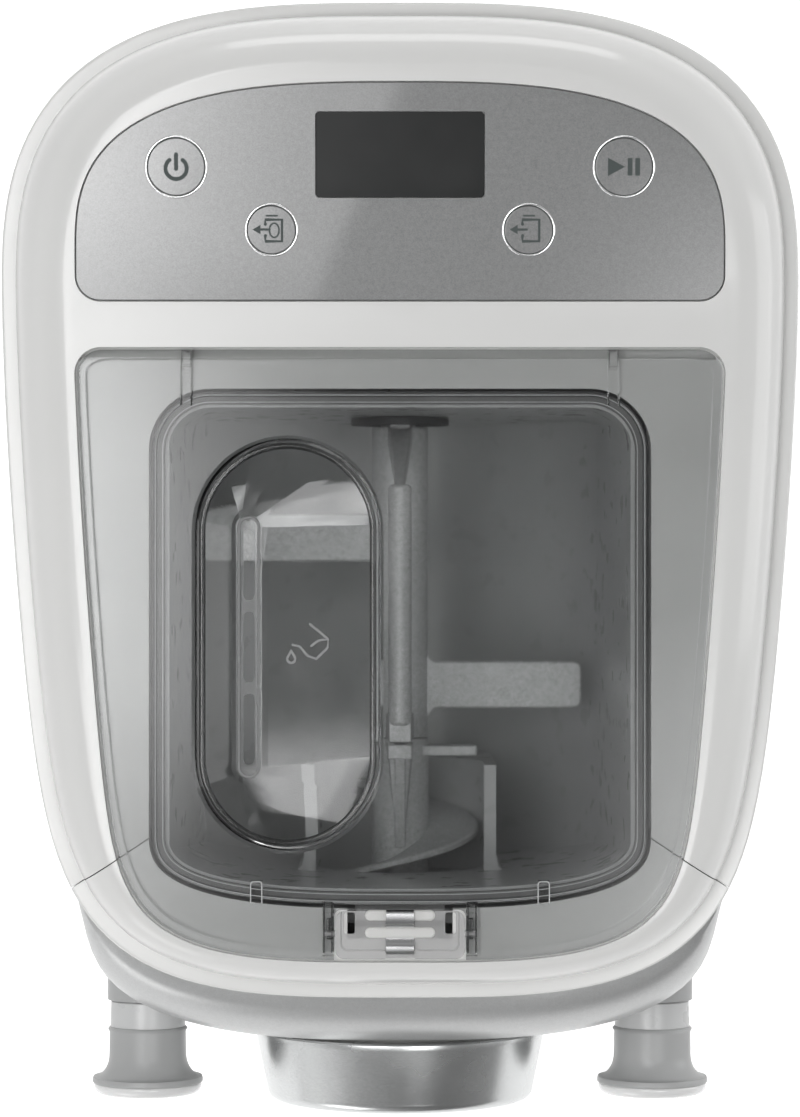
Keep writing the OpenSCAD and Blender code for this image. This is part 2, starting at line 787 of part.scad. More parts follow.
// The chassis: gear plate, rails that carry the chamber's rim, front bulkhead and legs
rail_half = rim_half + 6;
bulkhead_y = seam_y + 1.5;
bulkhead_t = 3;
insert_r = 6;
knob_x = knob_span / 2;
module chassis() {
  color("lightgray") difference() {
    union() {
      block(-80, 80, plate_y, plate_y + plate_t, base_top, axis_z + 66);
      rod(output_r + 10, plate_y - 4, plate_y, 0, axis_z);
      for (p = post_places) rod(post_r, plate_y + plate_t, cover_y, p.x, p.y);
      pair() block(rim_half - 0.4, rail_half, bulkhead_y, plate_y, bowl_rim_z - 26, bowl_rim_z - 2.2);
      // bulkhead with its legs
      block(-82, 82, bulkhead_y, bulkhead_y + bulkhead_t, skin_foot, rim_z);
      pair() block(drawer_w / 2 - 4, 74, bulkhead_y, bulkhead_y + bulkhead_t, base_top, skin_foot);
      pair() rod(insert_r + 4, bulkhead_y, bulkhead_y + 16, knob_x, axis_z);
    }
    // room for the chamber
    translate([0, bulkhead_y - cut, 0]) rotate([90, 0, 0]) mirror([0, 0, 1]) linear_extrude(bulkhead_t + 2 * cut)
      chamber_section(bowl_wall + gap);
    block(-drawer_w / 2 + 4, drawer_w / 2 - 4, bulkhead_y - cut, bulkhead_y + 10, 0, drawer_top + gap);
    rod(output_r + 7 + 0.02, plate_y - 5, plate_y + 1, 0, axis_z);
    rod(output_r + 1, plate_y - 5, plate_y + 10, 0, axis_z);
    for (at = [second_at, first_at])
      rod(shaft_thin + bush_wall + 0.02, plate_y - cut, plate_y + 10, at.x, at.y);
    rod(11, plate_y - cut, plate_y + 10, motor_at.x, motor_at.y);
    pair() rod(insert_r + 0.02, bulkhead_y - cut, bulkhead_y + 14, knob_x, axis_z);
    for (p = post_places) rod(1.65, cover_y - 8, cover_y + cut, p.x, p.y);
  }
}

motor_back = plate_y;
motor_front = motor_back - motor_l;
can_t = 2;
rotor_r = motor_r - can_t - 7.6;
module motor_can() {
  color("gray") difference() {
    rod(motor_r, motor_front, motor_back - 4, motor_at.x, motor_at.y);
    rod(motor_r - can_t, motor_front + 2, motor_back, motor_at.x, motor_at.y);
    rod(7.02, motor_front - cut, motor_front + 10, motor_at.x, motor_at.y);
    // vents round the fan
    for (a = [0:45:315]) translate([motor_at.x, 0, motor_at.y]) rotate([0, a, 0])
      block(motor_r - 6, motor_r + 5, motor_front + 6, motor_front + 12, -5, 5);
  }
}
module motor_end_bell() {
  color("gray") difference() {
    union() {
      rod(motor_r, motor_back - 4, motor_back, motor_at.x, motor_at.y);
      rod(10.9, motor_back, motor_back + plate_t, motor_at.x, motor_at.y);
    }
    rod(3 + fit, motor_back - 10, motor_back + 10, motor_at.x, motor_at.y);
  }
}
module motor_magnets() {
  color("#303030") difference() {
    rod(motor_r - can_t - 0.02, motor_front + 18, motor_back - 8, motor_at.x, motor_at.y);
    rod(rotor_r + 0.6, motor_front + 10, motor_back, motor_at.x, motor_at.y);
    block(-8, 8, motor_front, motor_back, motor_at.y - motor_r, motor_at.y + motor_r);
  }
}
module motor_rotor() {
  color("darkgray") {
    rod(3, motor_front + 3, layer_a + face_a + 1, motor_at.x, motor_at.y);
    difference() {
      rod(rotor_r, motor_front + 20, motor_back - 10, motor_at.x, motor_at.y);
      rod(2.9, motor_front, motor_back, motor_at.x, motor_at.y);
      for (a = [0:30:330]) translate([motor_at.x, 0, motor_at.y]) rotate([0, a, 0])
        block(rotor_r - 5, rotor_r + 5, motor_front, motor_back, -1.2, 1.2);
    }
  }
}
module motor_pinion() {
  color("goldenrod") translate([motor_at.x, 0, motor_at.y]) slab(layer_a, layer_a + face_a) difference() {
    gear(teeth_motor, module_a, line_a + 180 + 180 / teeth_motor);
    circle(r = 3.02, $fn = 48);
  }
}
module motor_fan() {
  blades = 9;
  color("#303030") translate([motor_at.x, 0, motor_at.y]) {
    difference() {
      union() {
        rod(7, motor_front + 5, motor_front + 15);
        rod(motor_r - can_t - 3, motor_front + 13, motor_front + 15);
        for (i = [0:blades - 1]) rotate([0, i * 360 / blades, 0])
          block(6, motor_r - can_t - 3, motor_front + 5, motor_front + 14, -0.7, 0.7);
      }
      rod(3.02, motor_front, motor_front + 20);
    }
  }
}

module power_board() {
  board_y = plate_y + plate_t + 8;
  board_end = back_y - 22;
  color("darkgreen") {
    block(-70, 20, board_y, board_end, base_top + 6, base_top + 6 + board_t);
    for (x = [-65, 15], y = [board_y + 5, board_end - 6])
      translate([x, y, base_top]) cylinder(r = 3, h = 6, $fn = 32);
    translate([-52, board_y + 16, base_top + 6 + board_t]) cylinder(r = 9, h = 22, $fn = 48);
    block(-36, -6, board_y + 8, board_y + 34, base_top + 6 + board_t, base_top + 28);
    block(-4, 16, board_y + 36, board_y + 54, base_top + 6 + board_t, base_top + 18);
  }
}

// ---- Kneading chamber ----

// Cross-section of the chamber in X and Z, grown by d
bowl_top_half = rim_half - 4.4;
module chamber_section(d) {
  translate([0, axis_z]) circle(r = bowl_r + d, $fn = 128);
  polygon([
    [-bowl_r - d, axis_z], [bowl_r + d, axis_z],
    [bowl_top_half + d, bowl_rim_z + 5], [-bowl_top_half - d, bowl_rim_z + 5]
  ]);
}
module trough(d) {
  slab(chamber_front - 10, chamber_back + 10) chamber_section(d);
}

fin_back = seam_y + 15.5;
fin_t = 3.4;
fin_top = axis_z + 20;
front_wall = 2;
module mixing_chamber() {
  low = axis_z - bowl_r - 20;
  color("gray") {
    difference() {
      union() {
        intersection() {
          trough(bowl_wall);
          translate([0, 0, low]) linear_extrude(bowl_rim_z - low) chamber_plan(front_wall);
        }
        translate([0, 0, bowl_rim_z - 2.2]) linear_extrude(2.2) chamber_plan(0);
      }
      intersection() {
        trough(0);
        translate([0, 0, low]) linear_extrude(200) chamber_plan(4.4);
      }
      // mouth for the screw, and hole for the drive
      rod(tube_r + 0.4, chamber_front - 10, chamber_front + 10, 0, axis_z);
      rod(output_r + 6, chamber_back - 10, chamber_back + 10, 0, axis_z);
    }
    // channel that guides the dough into the screw
    difference() {
      intersection() {
        block(-tube_r - 0.4 - fin_t, tube_r + 0.4 + fin_t, chamber_front + 4.3, fin_back, low, fin_top);
        trough(1);
        translate([0, 0, low]) linear_extrude(200) chamber_plan(3.4);
      }
      rod(tube_r + 0.4, chamber_front, fin_back + 5, 0, axis_z);
      block(-tube_r - 0.4, tube_r + 0.4, chamber_front, fin_back + 5, axis_z, fin_top + 5);
    }
  }
}

module shaft_seal() {
  color("#404040") difference() {
    union() {
      rod(output_r + 5.9, chamber_back - 6.6, chamber_back - 0.2, 0, axis_z);
      rod(output_r + 8, chamber_back - 6.6, chamber_back - 4.6, 0, axis_z);
    }
    rod(output_r + fit, chamber_back - 20, chamber_back + 20, 0, axis_z);
  }
}

// ---- Stirring rod and screw ----

rod_back = chamber_back - 7.2;
rod_front = seam_y + 22.5;
bar_r = 3.2;
bar_reach = 50;
bar_back = chamber_back - 24.5;
bar_front = seam_y + 29;
neck_r = 5;
arm_foot = shaft_r - 1.4;
function paddle_at(share) = rod_front + share * (rod_back - rod_front);

// An arm from the shaft to radius r, between widths at its foot and at its tip
module arm(foot_y, tip_y, foot_w, tip_w, foot_len, tip_len, r) {
  hull() {
    translate([-foot_w / 2, foot_y - foot_len / 2, axis_z + arm_foot - 1]) cube([foot_w, foot_len, 1]);
    translate([-tip_w / 2, tip_y - tip_len / 2, axis_z + r - 1]) cube([tip_w, tip_len, 1]);
  }
}

// A flat paddle along +X with a flared root and a rounded tip
module paddle(middle_y) {
  t = 4;
  w = paddle_w / 2;
  round_r = 2.5;
  translate([0, middle_y, axis_z - t / 2]) linear_extrude(t) union() {
    translate([shaft_r - 2, -w]) square([paddle_reach - shaft_r + 2 - round_r, 2 * w]);
    translate([shaft_r, -w + round_r]) square([paddle_reach - shaft_r, 2 * (w - round_r)]);
    for (s = [-1, 1]) translate([paddle_reach - round_r, s * (w - round_r)]) circle(r = round_r, $fn = 32);
    polygon([[shaft_r - 3, -w - 3], [shaft_r, -w - 3], [shaft_r + 2, -w], [shaft_r + 2, w],
      [shaft_r, w + 1.5], [shaft_r - 3, w + 1.5]]);
  }
}

module stirring_rod() {
  color("dimgray") difference() {
    union() {
      rod(shaft_r, rod_front, rod_back, 0, axis_z);
      rod(neck_r, rod_front - 22, rod_front, 0, axis_z);
      rod(bar_r, bar_front, bar_back, 0, axis_z + bar_reach);
      arm(rod_back - 2.5, bar_back - 1.5, 7, 2.2, 5, 3.2, bar_reach + 1);
      arm(rod_front + 3.6, bar_front + 1.4, 8, 6, 7, 5, bar_reach + 2.6);
      paddle(paddle_at(0.17));
      mirror([1, 0, 0]) paddle(paddle_at(0.642));
    }
    slab(drive_tip - 1, rod_back + cut) translate([0, axis_z]) circle(r = output_r - 0.3, $fn = 6);
  }
}

screw_back = rod_front - 0.2;
screw_front = nut_front + disc_t + 8.2;
hub_r = shaft_r + 0.2;
flight_t = 3;
module extrusion_screw() {
  length = flight_back - screw_front - 1;
  color("dimgray") {
    difference() {
      union() {
        rod(hub_r, screw_front, screw_back, 0, axis_z);
        translate([0, flight_back, axis_z]) rotate([90, 0, 0])
          linear_extrude(height = length, twist = -360 * length / screw_lead, slices = ceil(length / screw_lead * 20))
            flight_section();
        // wing that feeds the dough forward
        block(0, screw_r - 0.5, screw_back - 5, screw_back - 2, axis_z - 5, axis_z + 5);
      }
      rod(neck_r + 0.04, rod_front - 22.5, screw_back + cut, 0, axis_z);
    }
    rod(3, screw_front - disc_t - 0.5, screw_front, 0, axis_z);
    // upright fin at the back of the hub
    hull() {
      translate([-3.6, screw_back - 6, axis_z + hub_r - 1.5]) cube([7.2, 5, 14]);
      translate([-1.5, screw_back - 31, axis_z + hub_r - 1.5]) cube([3, 1, 2.5]);
    }
  }
}

// Starts behind the screw's mouth; crosses over the hub once inside the chamber
flight_back = screw_back - 14;
flight_over = flight_back - 20;

// The flight across the screw's axis: a sector as thick as the flight is along the lead
module flight_section() {
  sector = 360 * flight_t / screw_lead;
  start = 90 - 360 * (flight_back - flight_over) / screw_lead - sector / 2;
  steps = 3;
  polygon(concat(
    [for (i = [0:steps]) let (a = start + i * sector / steps) [screw_r * cos(a), screw_r * sin(a)]],
    [for (i = [steps:-1:0]) let (a = start + i * sector / steps) (hub_r - 1) * [cos(a), sin(a)]]
  ));
}

// ---- Removable front ----

frame_y = chamber_front - 3.5;
frame_t = 3;
boss_front = nut_front + 28;
boss_r = 11.5;
module front_skin() {
  color("silver") difference() {
    intersection() {
      difference() {
        shell_solid(0, skin_foot + gap, rim_z);
        shell_solid(2, skin_foot - 5, rim_z + 5);
      }
      before_seam(skin_foot, rim_z, gap);
    }
    pair() rod(boss_r + 0.1, -body_l, seam_y, knob_x, axis_z);
    rod(tube_flange_r + 1, -body_l, frame_y - frame_t, 0, axis_z);
  }
}

tube_flange_r = 38;
collar_r = 35;
collar_back = skin_front + 6;
module front_frame() {
  frame_low = skin_foot + 2;
  frame_half = skin_half - 11;
  color("lightgray") difference() {
    union() {
      block(-frame_half, frame_half, frame_y - frame_t, frame_y, frame_low, rim_z - 3);
      pair() rod(boss_r, boss_front, seam_y - gap, knob_x, axis_z);
      pair() block(20, 54, frame_y - frame_t, frame_y, rim_z - 6, deck_under);
      // stays that touch the skin's inside
      pair() block(frame_half - 3, frame_half, frame_y - 8, seam_y - 12, rim_z - 28, rim_z - 8);
      pair() block(frame_half - 3, frame_half, frame_y - 8, seam_y - 12, frame_low, frame_low + 20);
    }
    rod(tube_r + 3.5 + 0.05, -body_l, 0, 0, axis_z);
    pair() rod(stud_r + fit, -body_l, 0, knob_x, axis_z);
    intersection() {
      trough(bowl_wall + 1);
      block(-body_w, body_w, chamber_front - 1, 0, 0, deck_z);
    }
  }
}

disc_r = 32.5;
disc_y = nut_front + 3.8;
module extrusion_tube() {
  color("gainsboro") difference() {
    union() {
      rod(tube_r + 3.5, collar_back, chamber_front + 1.6, 0, axis_z);
      rod(tube_flange_r, frame_y - frame_t - 3, frame_y - frame_t, 0, axis_z);
      rod(collar_r, disc_y + disc_t + 0.2, collar_back, 0, axis_z);
    }
    rod(tube_r, -body_l, 0, 0, axis_z);
    // the bore opens out in front of the screw
    translate([0, disc_y + disc_t + 6, axis_z]) rotate([90, 0, 0])
      cylinder(r1 = tube_r - 0.01, r2 = nut_mouth_r, h = 6 + cut, $fn = 96);
  }
}

module shaping_disc() {
  color("ivory") difference() {
    rod(disc_r, disc_y, disc_y + disc_t, 0, axis_z);
    rod(3 + fit, -body_l, 0, 0, axis_z);
    for (ring = [[8, 10], [13, 16], [18, 22], [23, 28]], i = [0:ring[1] - 1])
      let (a = i * 360 / ring[1])
      rod(die_hole_r, -body_l, 0, ring[0] * cos(a), axis_z + ring[0] * sin(a));
  }
}

module extrusion_nut() {
  edge = 3;
  color("silver") difference() {
    translate([0, nut_back, axis_z]) rotate([90, 0, 0]) rotate_extrude($fn = 128) polygon([
      [0, 0], [nut_r, 0], [nut_r, 1],
      for (a = [0:15:90]) [nut_r - 2.9 - edge + edge * cos(a), nut_l - edge + edge * sin(a)],
      [0, nut_l]
    ]);
    rod(nut_mouth_r, -body_l, 0, 0, axis_z);
    rod(collar_r + fit, disc_y - 0.2, 0, 0, axis_z);
  }
}

// ---- Locking knobs ----

knob_front = nut_front + 4;
knob_back = boss_front - gap;
module knob() {
  flute_r = 5;
  color("lightgray") translate([knob_x, 0, axis_z]) difference() {
    union() {
      rod(10.4, knob_back - 8, knob_back);
      rod(knob_grip_r, knob_front + 1.7, knob_back - 8);
      rod(knob_rim_r, knob_front, knob_front + 1.7);
      translate([0, knob_front + 4.2, 0]) rotate([90, 0, 0])
        cylinder(r1 = knob_grip_r, r2 = knob_rim_r - 0.4, h = 2.5, $fn = 96);
    }
    for (a = [0, 180]) rotate([0, a, 0])
      rod(flute_r, knob_front + 4, knob_back - 7.9, knob_grip_r + flute_r - 1.3, 0);
    rod(stud_r, knob_front + 6, knob_back + cut);
  }
}
module knob_cap() {
  color("white") translate([knob_x, knob_front, axis_z]) rotate([90, 0, 0]) rotate_extrude($fn = 96)
    polygon([[0, 0], [knob_rim_r - 0.3, 0],
      for (a = [0:15:90]) [knob_rim_r - 2.6 + 2.3 * cos(a), 0.6 + 2.3 * sin(a)], [0, 2.9]]);
}
module knob_stud() {
  color("silver") rod(stud_r, knob_front + 6, bulkhead_y + 10, knob_x, axis_z);
}
module knob_left() { mirror([1, 0, 0]) knob(); }
module knob_right() { knob(); }
module knob_cap_left() { mirror([1, 0, 0]) knob_cap(); }
module knob_cap_right() { knob_cap(); }
module knob_stud_left() { mirror([1, 0, 0]) knob_stud(); }
module knob_stud_right() { knob_stud(); }
module knob_inserts() {
  color("goldenrod") pair() difference() {
    rod(insert_r, bulkhead_y, bulkhead_y + 13.9, knob_x, axis_z);
    rod(stud_r + fit, bulkhead_y - cut, bulkhead_y + 20, knob_x, axis_z);
  }
}

// ---- Lid ----

funnel_x = -29.8;
funnel_y = hinge_y - 75.8;
slot_x = -40.6;
slot_rib = 3.1;
slots_l = 3 * slot_l + 2 * slot_rib;
// Points round a stadium from its front, symmetric about its middle
function stadium(x, y, w, l) =
  let (right = concat(
    [for (a = [-90:7.5:0]) [w / 2 * cos(a), -(l - w) / 2 + w / 2 * sin(a)]],
    [for (a = [0:7.5:90]) [w / 2 * cos(a), (l - w) / 2 + w / 2 * sin(a)]]
  ))
  [for (p = concat(right, [for (i = [len(right) - 2:-1:1]) [-right[i].x, right[i].y]])) [p.x + x, p.y + y]];

module lid() {
  rim_low = lid_t + 4.4;
  wall_t = 1.8;
  color("lightgray", 0.5) difference() {
    union() {
      // plate, with the hinge's barrel along its back edge
      intersection() {
        union() {
          translate([0, 0, deck_z - lid_t]) linear_extrude(lid_t) difference() {
            lid_plan(gap);
            polygon(stadium(funnel_x, funnel_y, funnel_w, funnel_l));
          }
          translate([-top_half, hinge_y, deck_z - lid_t]) rotate([0, 90, 0])
            cylinder(r = lid_t, h = 2 * top_half, $fn = 48);
        }
        translate([0, 0, deck_z - 2 * lid_t - 1]) linear_extrude(3 * lid_t) back_corners();
      }
      // skirt over the chamber's rim
      translate([0, 0, deck_z - rim_low]) linear_extrude(rim_low - lid_t + 0.1) difference() {
        chamber_plan(0.6);
        chamber_plan(2.4);
      }
      // funnel: upright wall, sloping floor, slotted bottom
      translate([0, 0, deck_z - 7]) linear_extrude(7 - lid_t + 0.2) difference() {
        polygon(stadium(funnel_x, funnel_y, funnel_w + 2 * wall_t, funnel_l + 2 * wall_t));
        polygon(stadium(funnel_x, funnel_y, funnel_w, funnel_l));
      }
      difference() {
        funnel_body(wall_t, deck_z - 7, deck_z - funnel_d - wall_t);
        funnel_body(0, deck_z - 7, deck_z - funnel_d);
      }
    }
    translate([0, 0, deck_z - funnel_d - 5]) linear_extrude(10) for (i = [-1:1])
      polygon(stadium(slot_x, funnel_y - 1 + i * (slot_l + slot_rib), slot_w, slot_l));
    // slots for the cover's hinge ears, and bores for the pins
    pair() {
      block(ear_x - ear_w / 2 - 0.4, ear_x + ear_w / 2 + 0.4, hinge_y - lid_t - 1, hinge_y + lid_t + 1,
        deck_z - 10, deck_z + 1);
      translate([ear_x - 8, hinge_y, deck_z - lid_t]) rotate([0, 90, 0])
        cylinder(r = hinge_pin_r, h = 16, $fn = 32);
    }
    // notch for the latch
    block(-latch_w / 2, latch_w / 2, lid_front - 5, latch_back - 0.5, deck_z - 10, deck_z + 1);
    pair() latch_pin(latch_w / 2 - 1, latch_w / 2 + 4, 0.05);
  }
}

module funnel_body(t, top, low) {
  loft([
    [for (p = stadium(slot_x, funnel_y - 1, slot_w + 4 + 2 * t, slots_l + 8 + 2 * t)) [p.x, p.y, low]],
    [for (p = stadium(funnel_x, funnel_y, funnel_w + 2 * t, funnel_l + 2 * t)) [p.x, p.y, top]]
  ]);
}

module lid_seal() {
  color("#606060") translate([0, 0, bowl_rim_z + gap]) linear_extrude(deck_z - lid_t - 4.4 - bowl_rim_z - gap)
    difference() {
      chamber_plan(0.6);
      chamber_plan(3.6);
    }
}

module lid_pins() {
  color("silver") pair() translate([ear_x - 8, hinge_y, deck_z - lid_t]) rotate([0, 90, 0])
    cylinder(r = hinge_pin_r, h = 16, $fn = 32);
}

// The latch: a lever on two stub pins, with an arm that reaches down to the chamber's rim
latch_y = latch_back - 6.5;
module latch_pin(x0, x1, grow = 0) {
  translate([x0, latch_y, deck_z - lid_t / 2]) rotate([0, 90, 0])
    cylinder(r = 0.9 + grow, h = x1 - x0, $fn = 24);
}
lever_z = deck_z - 2.2;
module lid_latch() {
  half = latch_w / 2 - gap;
  arm_low = bowl_rim_z - 6;
  color("lightgray") {
    difference() {
      union() {
        block(-half, half, lid_front + gap + 0.6, latch_back - 0.8, lever_z, deck_z - 1);
        pair() latch_pin(half - 1, latch_w / 2 + 3);
      }
      block(-4, 4, lid_front, latch_back - 1.6, deck_z - 1.6, deck_z);
    }
    block(-arm_half, arm_half, latch_back - arm_d, latch_back - arm_d + 1.6, arm_low, lever_z + 0.1);
    block(-arm_half, arm_half, latch_back - arm_d + 1.5, latch_back - 0.1, arm_low, arm_low + 1.6);
    // two grips, each in two halves beside the spring
    for (y = [latch_back - 2.4, latch_back - 7.4]) pair()
      block(4.2, 9.6, y - 1.4, y + 1.4, deck_z - 1.1, deck_z);
  }
}
module latch_spring() {
  color("silver") {
    block(-3.8, 3.8, lid_front + 1.4, latch_back - 1.8, deck_z - 1.6, deck_z - 1);
    block(-3.8, 3.8, latch_back - 3.2, latch_back - 2.6, deck_z - 1.1, deck_z - 0.2);
  }
}

module lid_switch() {
  color("#303030") block(-top_half + 12, -top_half + 20, crease_y - 3, crease_y + 3, deck_under - 19, deck_under - 3);
}

// ---- Drawer ----

module drawer_front() {
  color("whitesmoke") intersection() {
    shell_wall(foot_h + 1, drawer_top + 10);
    block(-drawer_w / 2, drawer_w / 2, -body_l, rim_front + 20, drawer_low, drawer_top);
  }
}

tray_wall = 2;
tray_back = rim_front + 9 + drawer_d;
tray_half = drawer_w / 2 - 6;
module drawer_tray() {
  color("gainsboro") difference() {
    intersection() {
      block(-tray_half, tray_half, -body_l, tray_back, drawer_low, drawer_top - 3);
      shell_solid(wall, foot_h, drawer_top + 10 + cut);
    }
    block(-tray_half + tray_wall, tray_half - tray_wall, rim_front + 9, tray_back - tray_wall,
      drawer_low + tray_wall, drawer_top);
  }
}

main_housing();
top_cover();
base_plate();
rubber_feet();
base_screws();
rear_grille();
cord_gland();
control_panel();
display_window();
display_module();
button_rings();
control_board();
power_button();
play_button();
auto_button();
extrude_button();
chassis();
gearbox_cover();
gearbox_screws();
output_bearings();
gear_bushes();
output_shaft();
output_wheel();
second_shaft();
second_wheel();
first_shaft();
first_wheel();
motor_can();
motor_end_bell();
motor_magnets();
motor_rotor();
motor_pinion();
motor_fan();
power_board();
mixing_chamber();
shaft_seal();
stirring_rod();
extrusion_screw();
front_rim();
front_frame();
front_skin();
extrusion_tube();
shaping_disc();
extrusion_nut();
knob_inserts();
knob_left();
knob_right();
knob_cap_left();
knob_cap_right();
knob_stud_left();
knob_stud_right();
lid();
lid_seal();
lid_pins();
lid_latch();
latch_spring();
lid_switch();
drawer_front();
drawer_tray();
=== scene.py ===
"""Looks of an electric pasta maker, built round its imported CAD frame.

The frame gives the places and the sizes; the outlines follow the same formulas as the part's source, at a
finer step. Sizes are in millimetres unless a name says otherwise. +X is the user's right, -Y the extruding
front, +Z up.
"""

import json
import math

import bmesh
import bpy
from mathutils import Matrix, Vector


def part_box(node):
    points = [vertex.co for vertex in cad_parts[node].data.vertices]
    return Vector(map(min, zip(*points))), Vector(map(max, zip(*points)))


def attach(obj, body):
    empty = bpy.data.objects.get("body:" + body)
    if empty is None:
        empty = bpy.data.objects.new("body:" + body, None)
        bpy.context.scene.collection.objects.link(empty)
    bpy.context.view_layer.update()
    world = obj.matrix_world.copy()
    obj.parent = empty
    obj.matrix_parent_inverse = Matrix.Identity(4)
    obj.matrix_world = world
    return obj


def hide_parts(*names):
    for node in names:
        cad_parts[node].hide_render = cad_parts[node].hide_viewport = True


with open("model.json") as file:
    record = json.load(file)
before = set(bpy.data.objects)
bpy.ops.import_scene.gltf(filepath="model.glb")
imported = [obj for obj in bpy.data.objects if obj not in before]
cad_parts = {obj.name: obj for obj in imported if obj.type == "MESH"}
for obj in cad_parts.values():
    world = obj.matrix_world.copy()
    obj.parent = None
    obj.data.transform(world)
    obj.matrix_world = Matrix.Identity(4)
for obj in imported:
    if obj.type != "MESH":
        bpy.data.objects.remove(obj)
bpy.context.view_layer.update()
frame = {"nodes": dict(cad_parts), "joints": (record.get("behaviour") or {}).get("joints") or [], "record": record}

MM = 0.001
X, Y, Z = 0, 1, 2
SIDES = (-1, 1)
JOINTS = {joint["name"]: joint for joint in frame["joints"]}


def span(node, axis):
    """Lowest and highest place of a CAD node along an axis."""
    low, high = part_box(node)
    return low[axis] / MM, high[axis] / MM


def joint_at(name):
    return [value / MM for value in JOINTS[name]["pos_m"]]


# ---- Sizes read from the frame ----

BODY_W = 2 * span("top_cover", X)[1]
BACK_Y = span("top_cover", Y)[1]
DECK_Z = span("lid", Z)[1]
RIM_Z = span("top_cover", Z)[0]
RIM_FRONT = span("front_rim", Y)[0]
NUT_FRONT, NUT_BACK = span("extrusion_nut", Y)
NUT_R = span("extrusion_nut", X)[1]
FOOT_H = span("rubber_feet", Z)[1]
SKIN_FOOT = span("front_skin", Z)[0] - 0.3
SKIN_FRONT = NUT_BACK + 3.2
AXIS_Z = joint_at("mixer_spin")[Z]
HINGE_Y, LID_UNDER = joint_at("lid_hinge")[1:]
LID_T = DECK_Z - LID_UNDER
LATCH_Y = joint_at("latch_tilt")[Y]
KNOB_X = joint_at("right_knob_turn")[X]
ROD_FRONT = span("extrusion_screw", Y)[1] + 0.2
SHAFT_BACK = span("stirring_rod", Y)[1]
CHAMBER_BACK = HINGE_Y - 8.2
SEAM_Y = RIM_FRONT + 44.75
CHAMBER_FRONT = SEAM_Y - 19

# ---- The source's driving dimensions that the frame doesn't tell ----

WALL = 2.5
GAP = 0.3
TUCK = 11
LEDGE_W = 4
LEDGE_Z = DECK_Z - 17
SHOULDER_W = 17
TILT = math.radians(6)
PANEL_W, PANEL_D, PANEL_T = 171.8, 57.6, 1.6
BIG_BUTTON_R, SMALL_BUTTON_R, RING_W = 7.6, 6.4, 0.6
WINDOW_W, WINDOW_D = 44.6, 22.6
FUNNEL_W, FUNNEL_L, FUNNEL_D = 47, 107, 14
SLOT_W, SLOT_L, SLOT_GAP = 3, 19, 3.1
BOWL_R, BOWL_WALL, RIM_HALF, RIM_W = 57, 2.5, 66.4, 4.4
SHAFT_R, PADDLE_REACH, PADDLE_W = 8, 52, 13.5
SCREW_R, SCREW_LEAD = 22.5, 33
SKIN_HALF = 87
TUBE_R, NUT_MOUTH_R, DISC_T = 23.3, 29, 6
KNOB_RIM_R, KNOB_GRIP_R, STUD_R = 15.8, 11.4, 4
DRAWER_W, DRAWER_H = 124, 34

WIDE_Y = BACK_Y - 76
CREASE_Y = HINGE_Y + 11
SKIN_BEND_Y = SKIN_FRONT + 36.5
SKIN_PEAK = AXIS_Z + 35
RECESS_Z = LID_UNDER - GAP
DECK_UNDER = DECK_Z - 6
BOWL_RIM_Z = DECK_Z - 10
TOP_HALF = BODY_W / 2 - LEDGE_W - SHOULDER_W
LID_FRONT = RIM_FRONT + 11.75
LID_BACK = HINGE_Y + LID_T
LATCH_BACK = CHAMBER_FRONT - GAP
PANEL_FRONT, WINDOW_Y = 4.3, 42.8
KEY_SIZES = (((59.1, 39.6), BIG_BUTTON_R), ((34, 23), SMALL_BUTTON_R))
EAR_X, EAR_W, EAR_R = 56.6, 2.0, 2.1
CHANNEL_HALF, CHANNEL_FRONT = 1.4, HINGE_Y - 12.5
KNOB_FRONT = NUT_FRONT + 4
KNOB_BACK = NUT_FRONT + 28 - GAP
BOSS_R = 11.5
DRAWER_LOW = FOOT_H + 6
DRAWER_TOP = DRAWER_LOW + DRAWER_H
GRILLE_HALF, GRILLE_LOW, GRILLE_TOP = 38, 58, 118
GLAND_X, GLAND_Z, GLAND_R = 30, 32, 8
FUNNEL_X, FUNNEL_Y = -29.8, HINGE_Y - 75.8
SLOT_X, SLOT_Y, SLOTS_L = -40.6, FUNNEL_Y - 1, 3 * SLOT_L + 2 * SLOT_GAP
LATCH_GRIPS = (LATCH_BACK - 1.6, LATCH_BACK - 6.2)
LEVER_HALF, LID_GAP = 17.2, 0.55
FIN_BACK, FIN_T, FIN_TOP = SEAM_Y + 15.5, 3.4, AXIS_Z + 20
DISC_Y = NUT_FRONT + 3.8
COLLAR_R, TUBE_FLANGE_R = 35, 38
FRAME_Y = CHAMBER_FRONT - 3.5
CONSOLE = Matrix.Translation((0, CREASE_Y * MM, DECK_Z * MM)) @ Matrix.Rotation(TILT, 4, "X")
EDGE_OUT = 0.4  # how far the flat top and the lid reach past the source's outlines
FAR = 200  # clear of the part on every side
ABOVE = DECK_Z + 40
MIRROR_X = Matrix.Scale(-1, 4, (1, 0, 0))
SWAP_YZ = Matrix(((1, 0, 0, 0), (0, 0, 1, 0), (0, 1, 0, 0), (0, 0, 0, 1)))

# ---- Outlines ----

FINE = 44  # steps along each of an outline's curves


# Shares of the half width, from the plan's widest place (0) to its front or back end (1), and steps between
# the two that come closer together towards the end.
def share_nose(u):
    return (1 - 0.149 * u**1.55) * max(0, 1 - u**9.4) ** (1 / 3.39)


def share_back(v):
    return max(0, 1 - v**2.615) ** (1 / 3.136)


def share_top(u):
    return (1 - 0.148 * u**1.55) * max(0, 1 - u**16) ** (1 / 3.4)


def step_nose(i):
    return math.sin(math.pi / 2 * (1 - (1 - i / FINE) ** 1.7))


def step_back(i):
    return math.sin(math.pi / 4 * (1 - math.cos(math.pi * i / FINE)))


def mirrored(right):
    """A closed outline from its right half, which starts and ends on x = 0."""
    return right + [(-p[0],) + tuple(p[1:]) for p in right[-2:0:-1]]


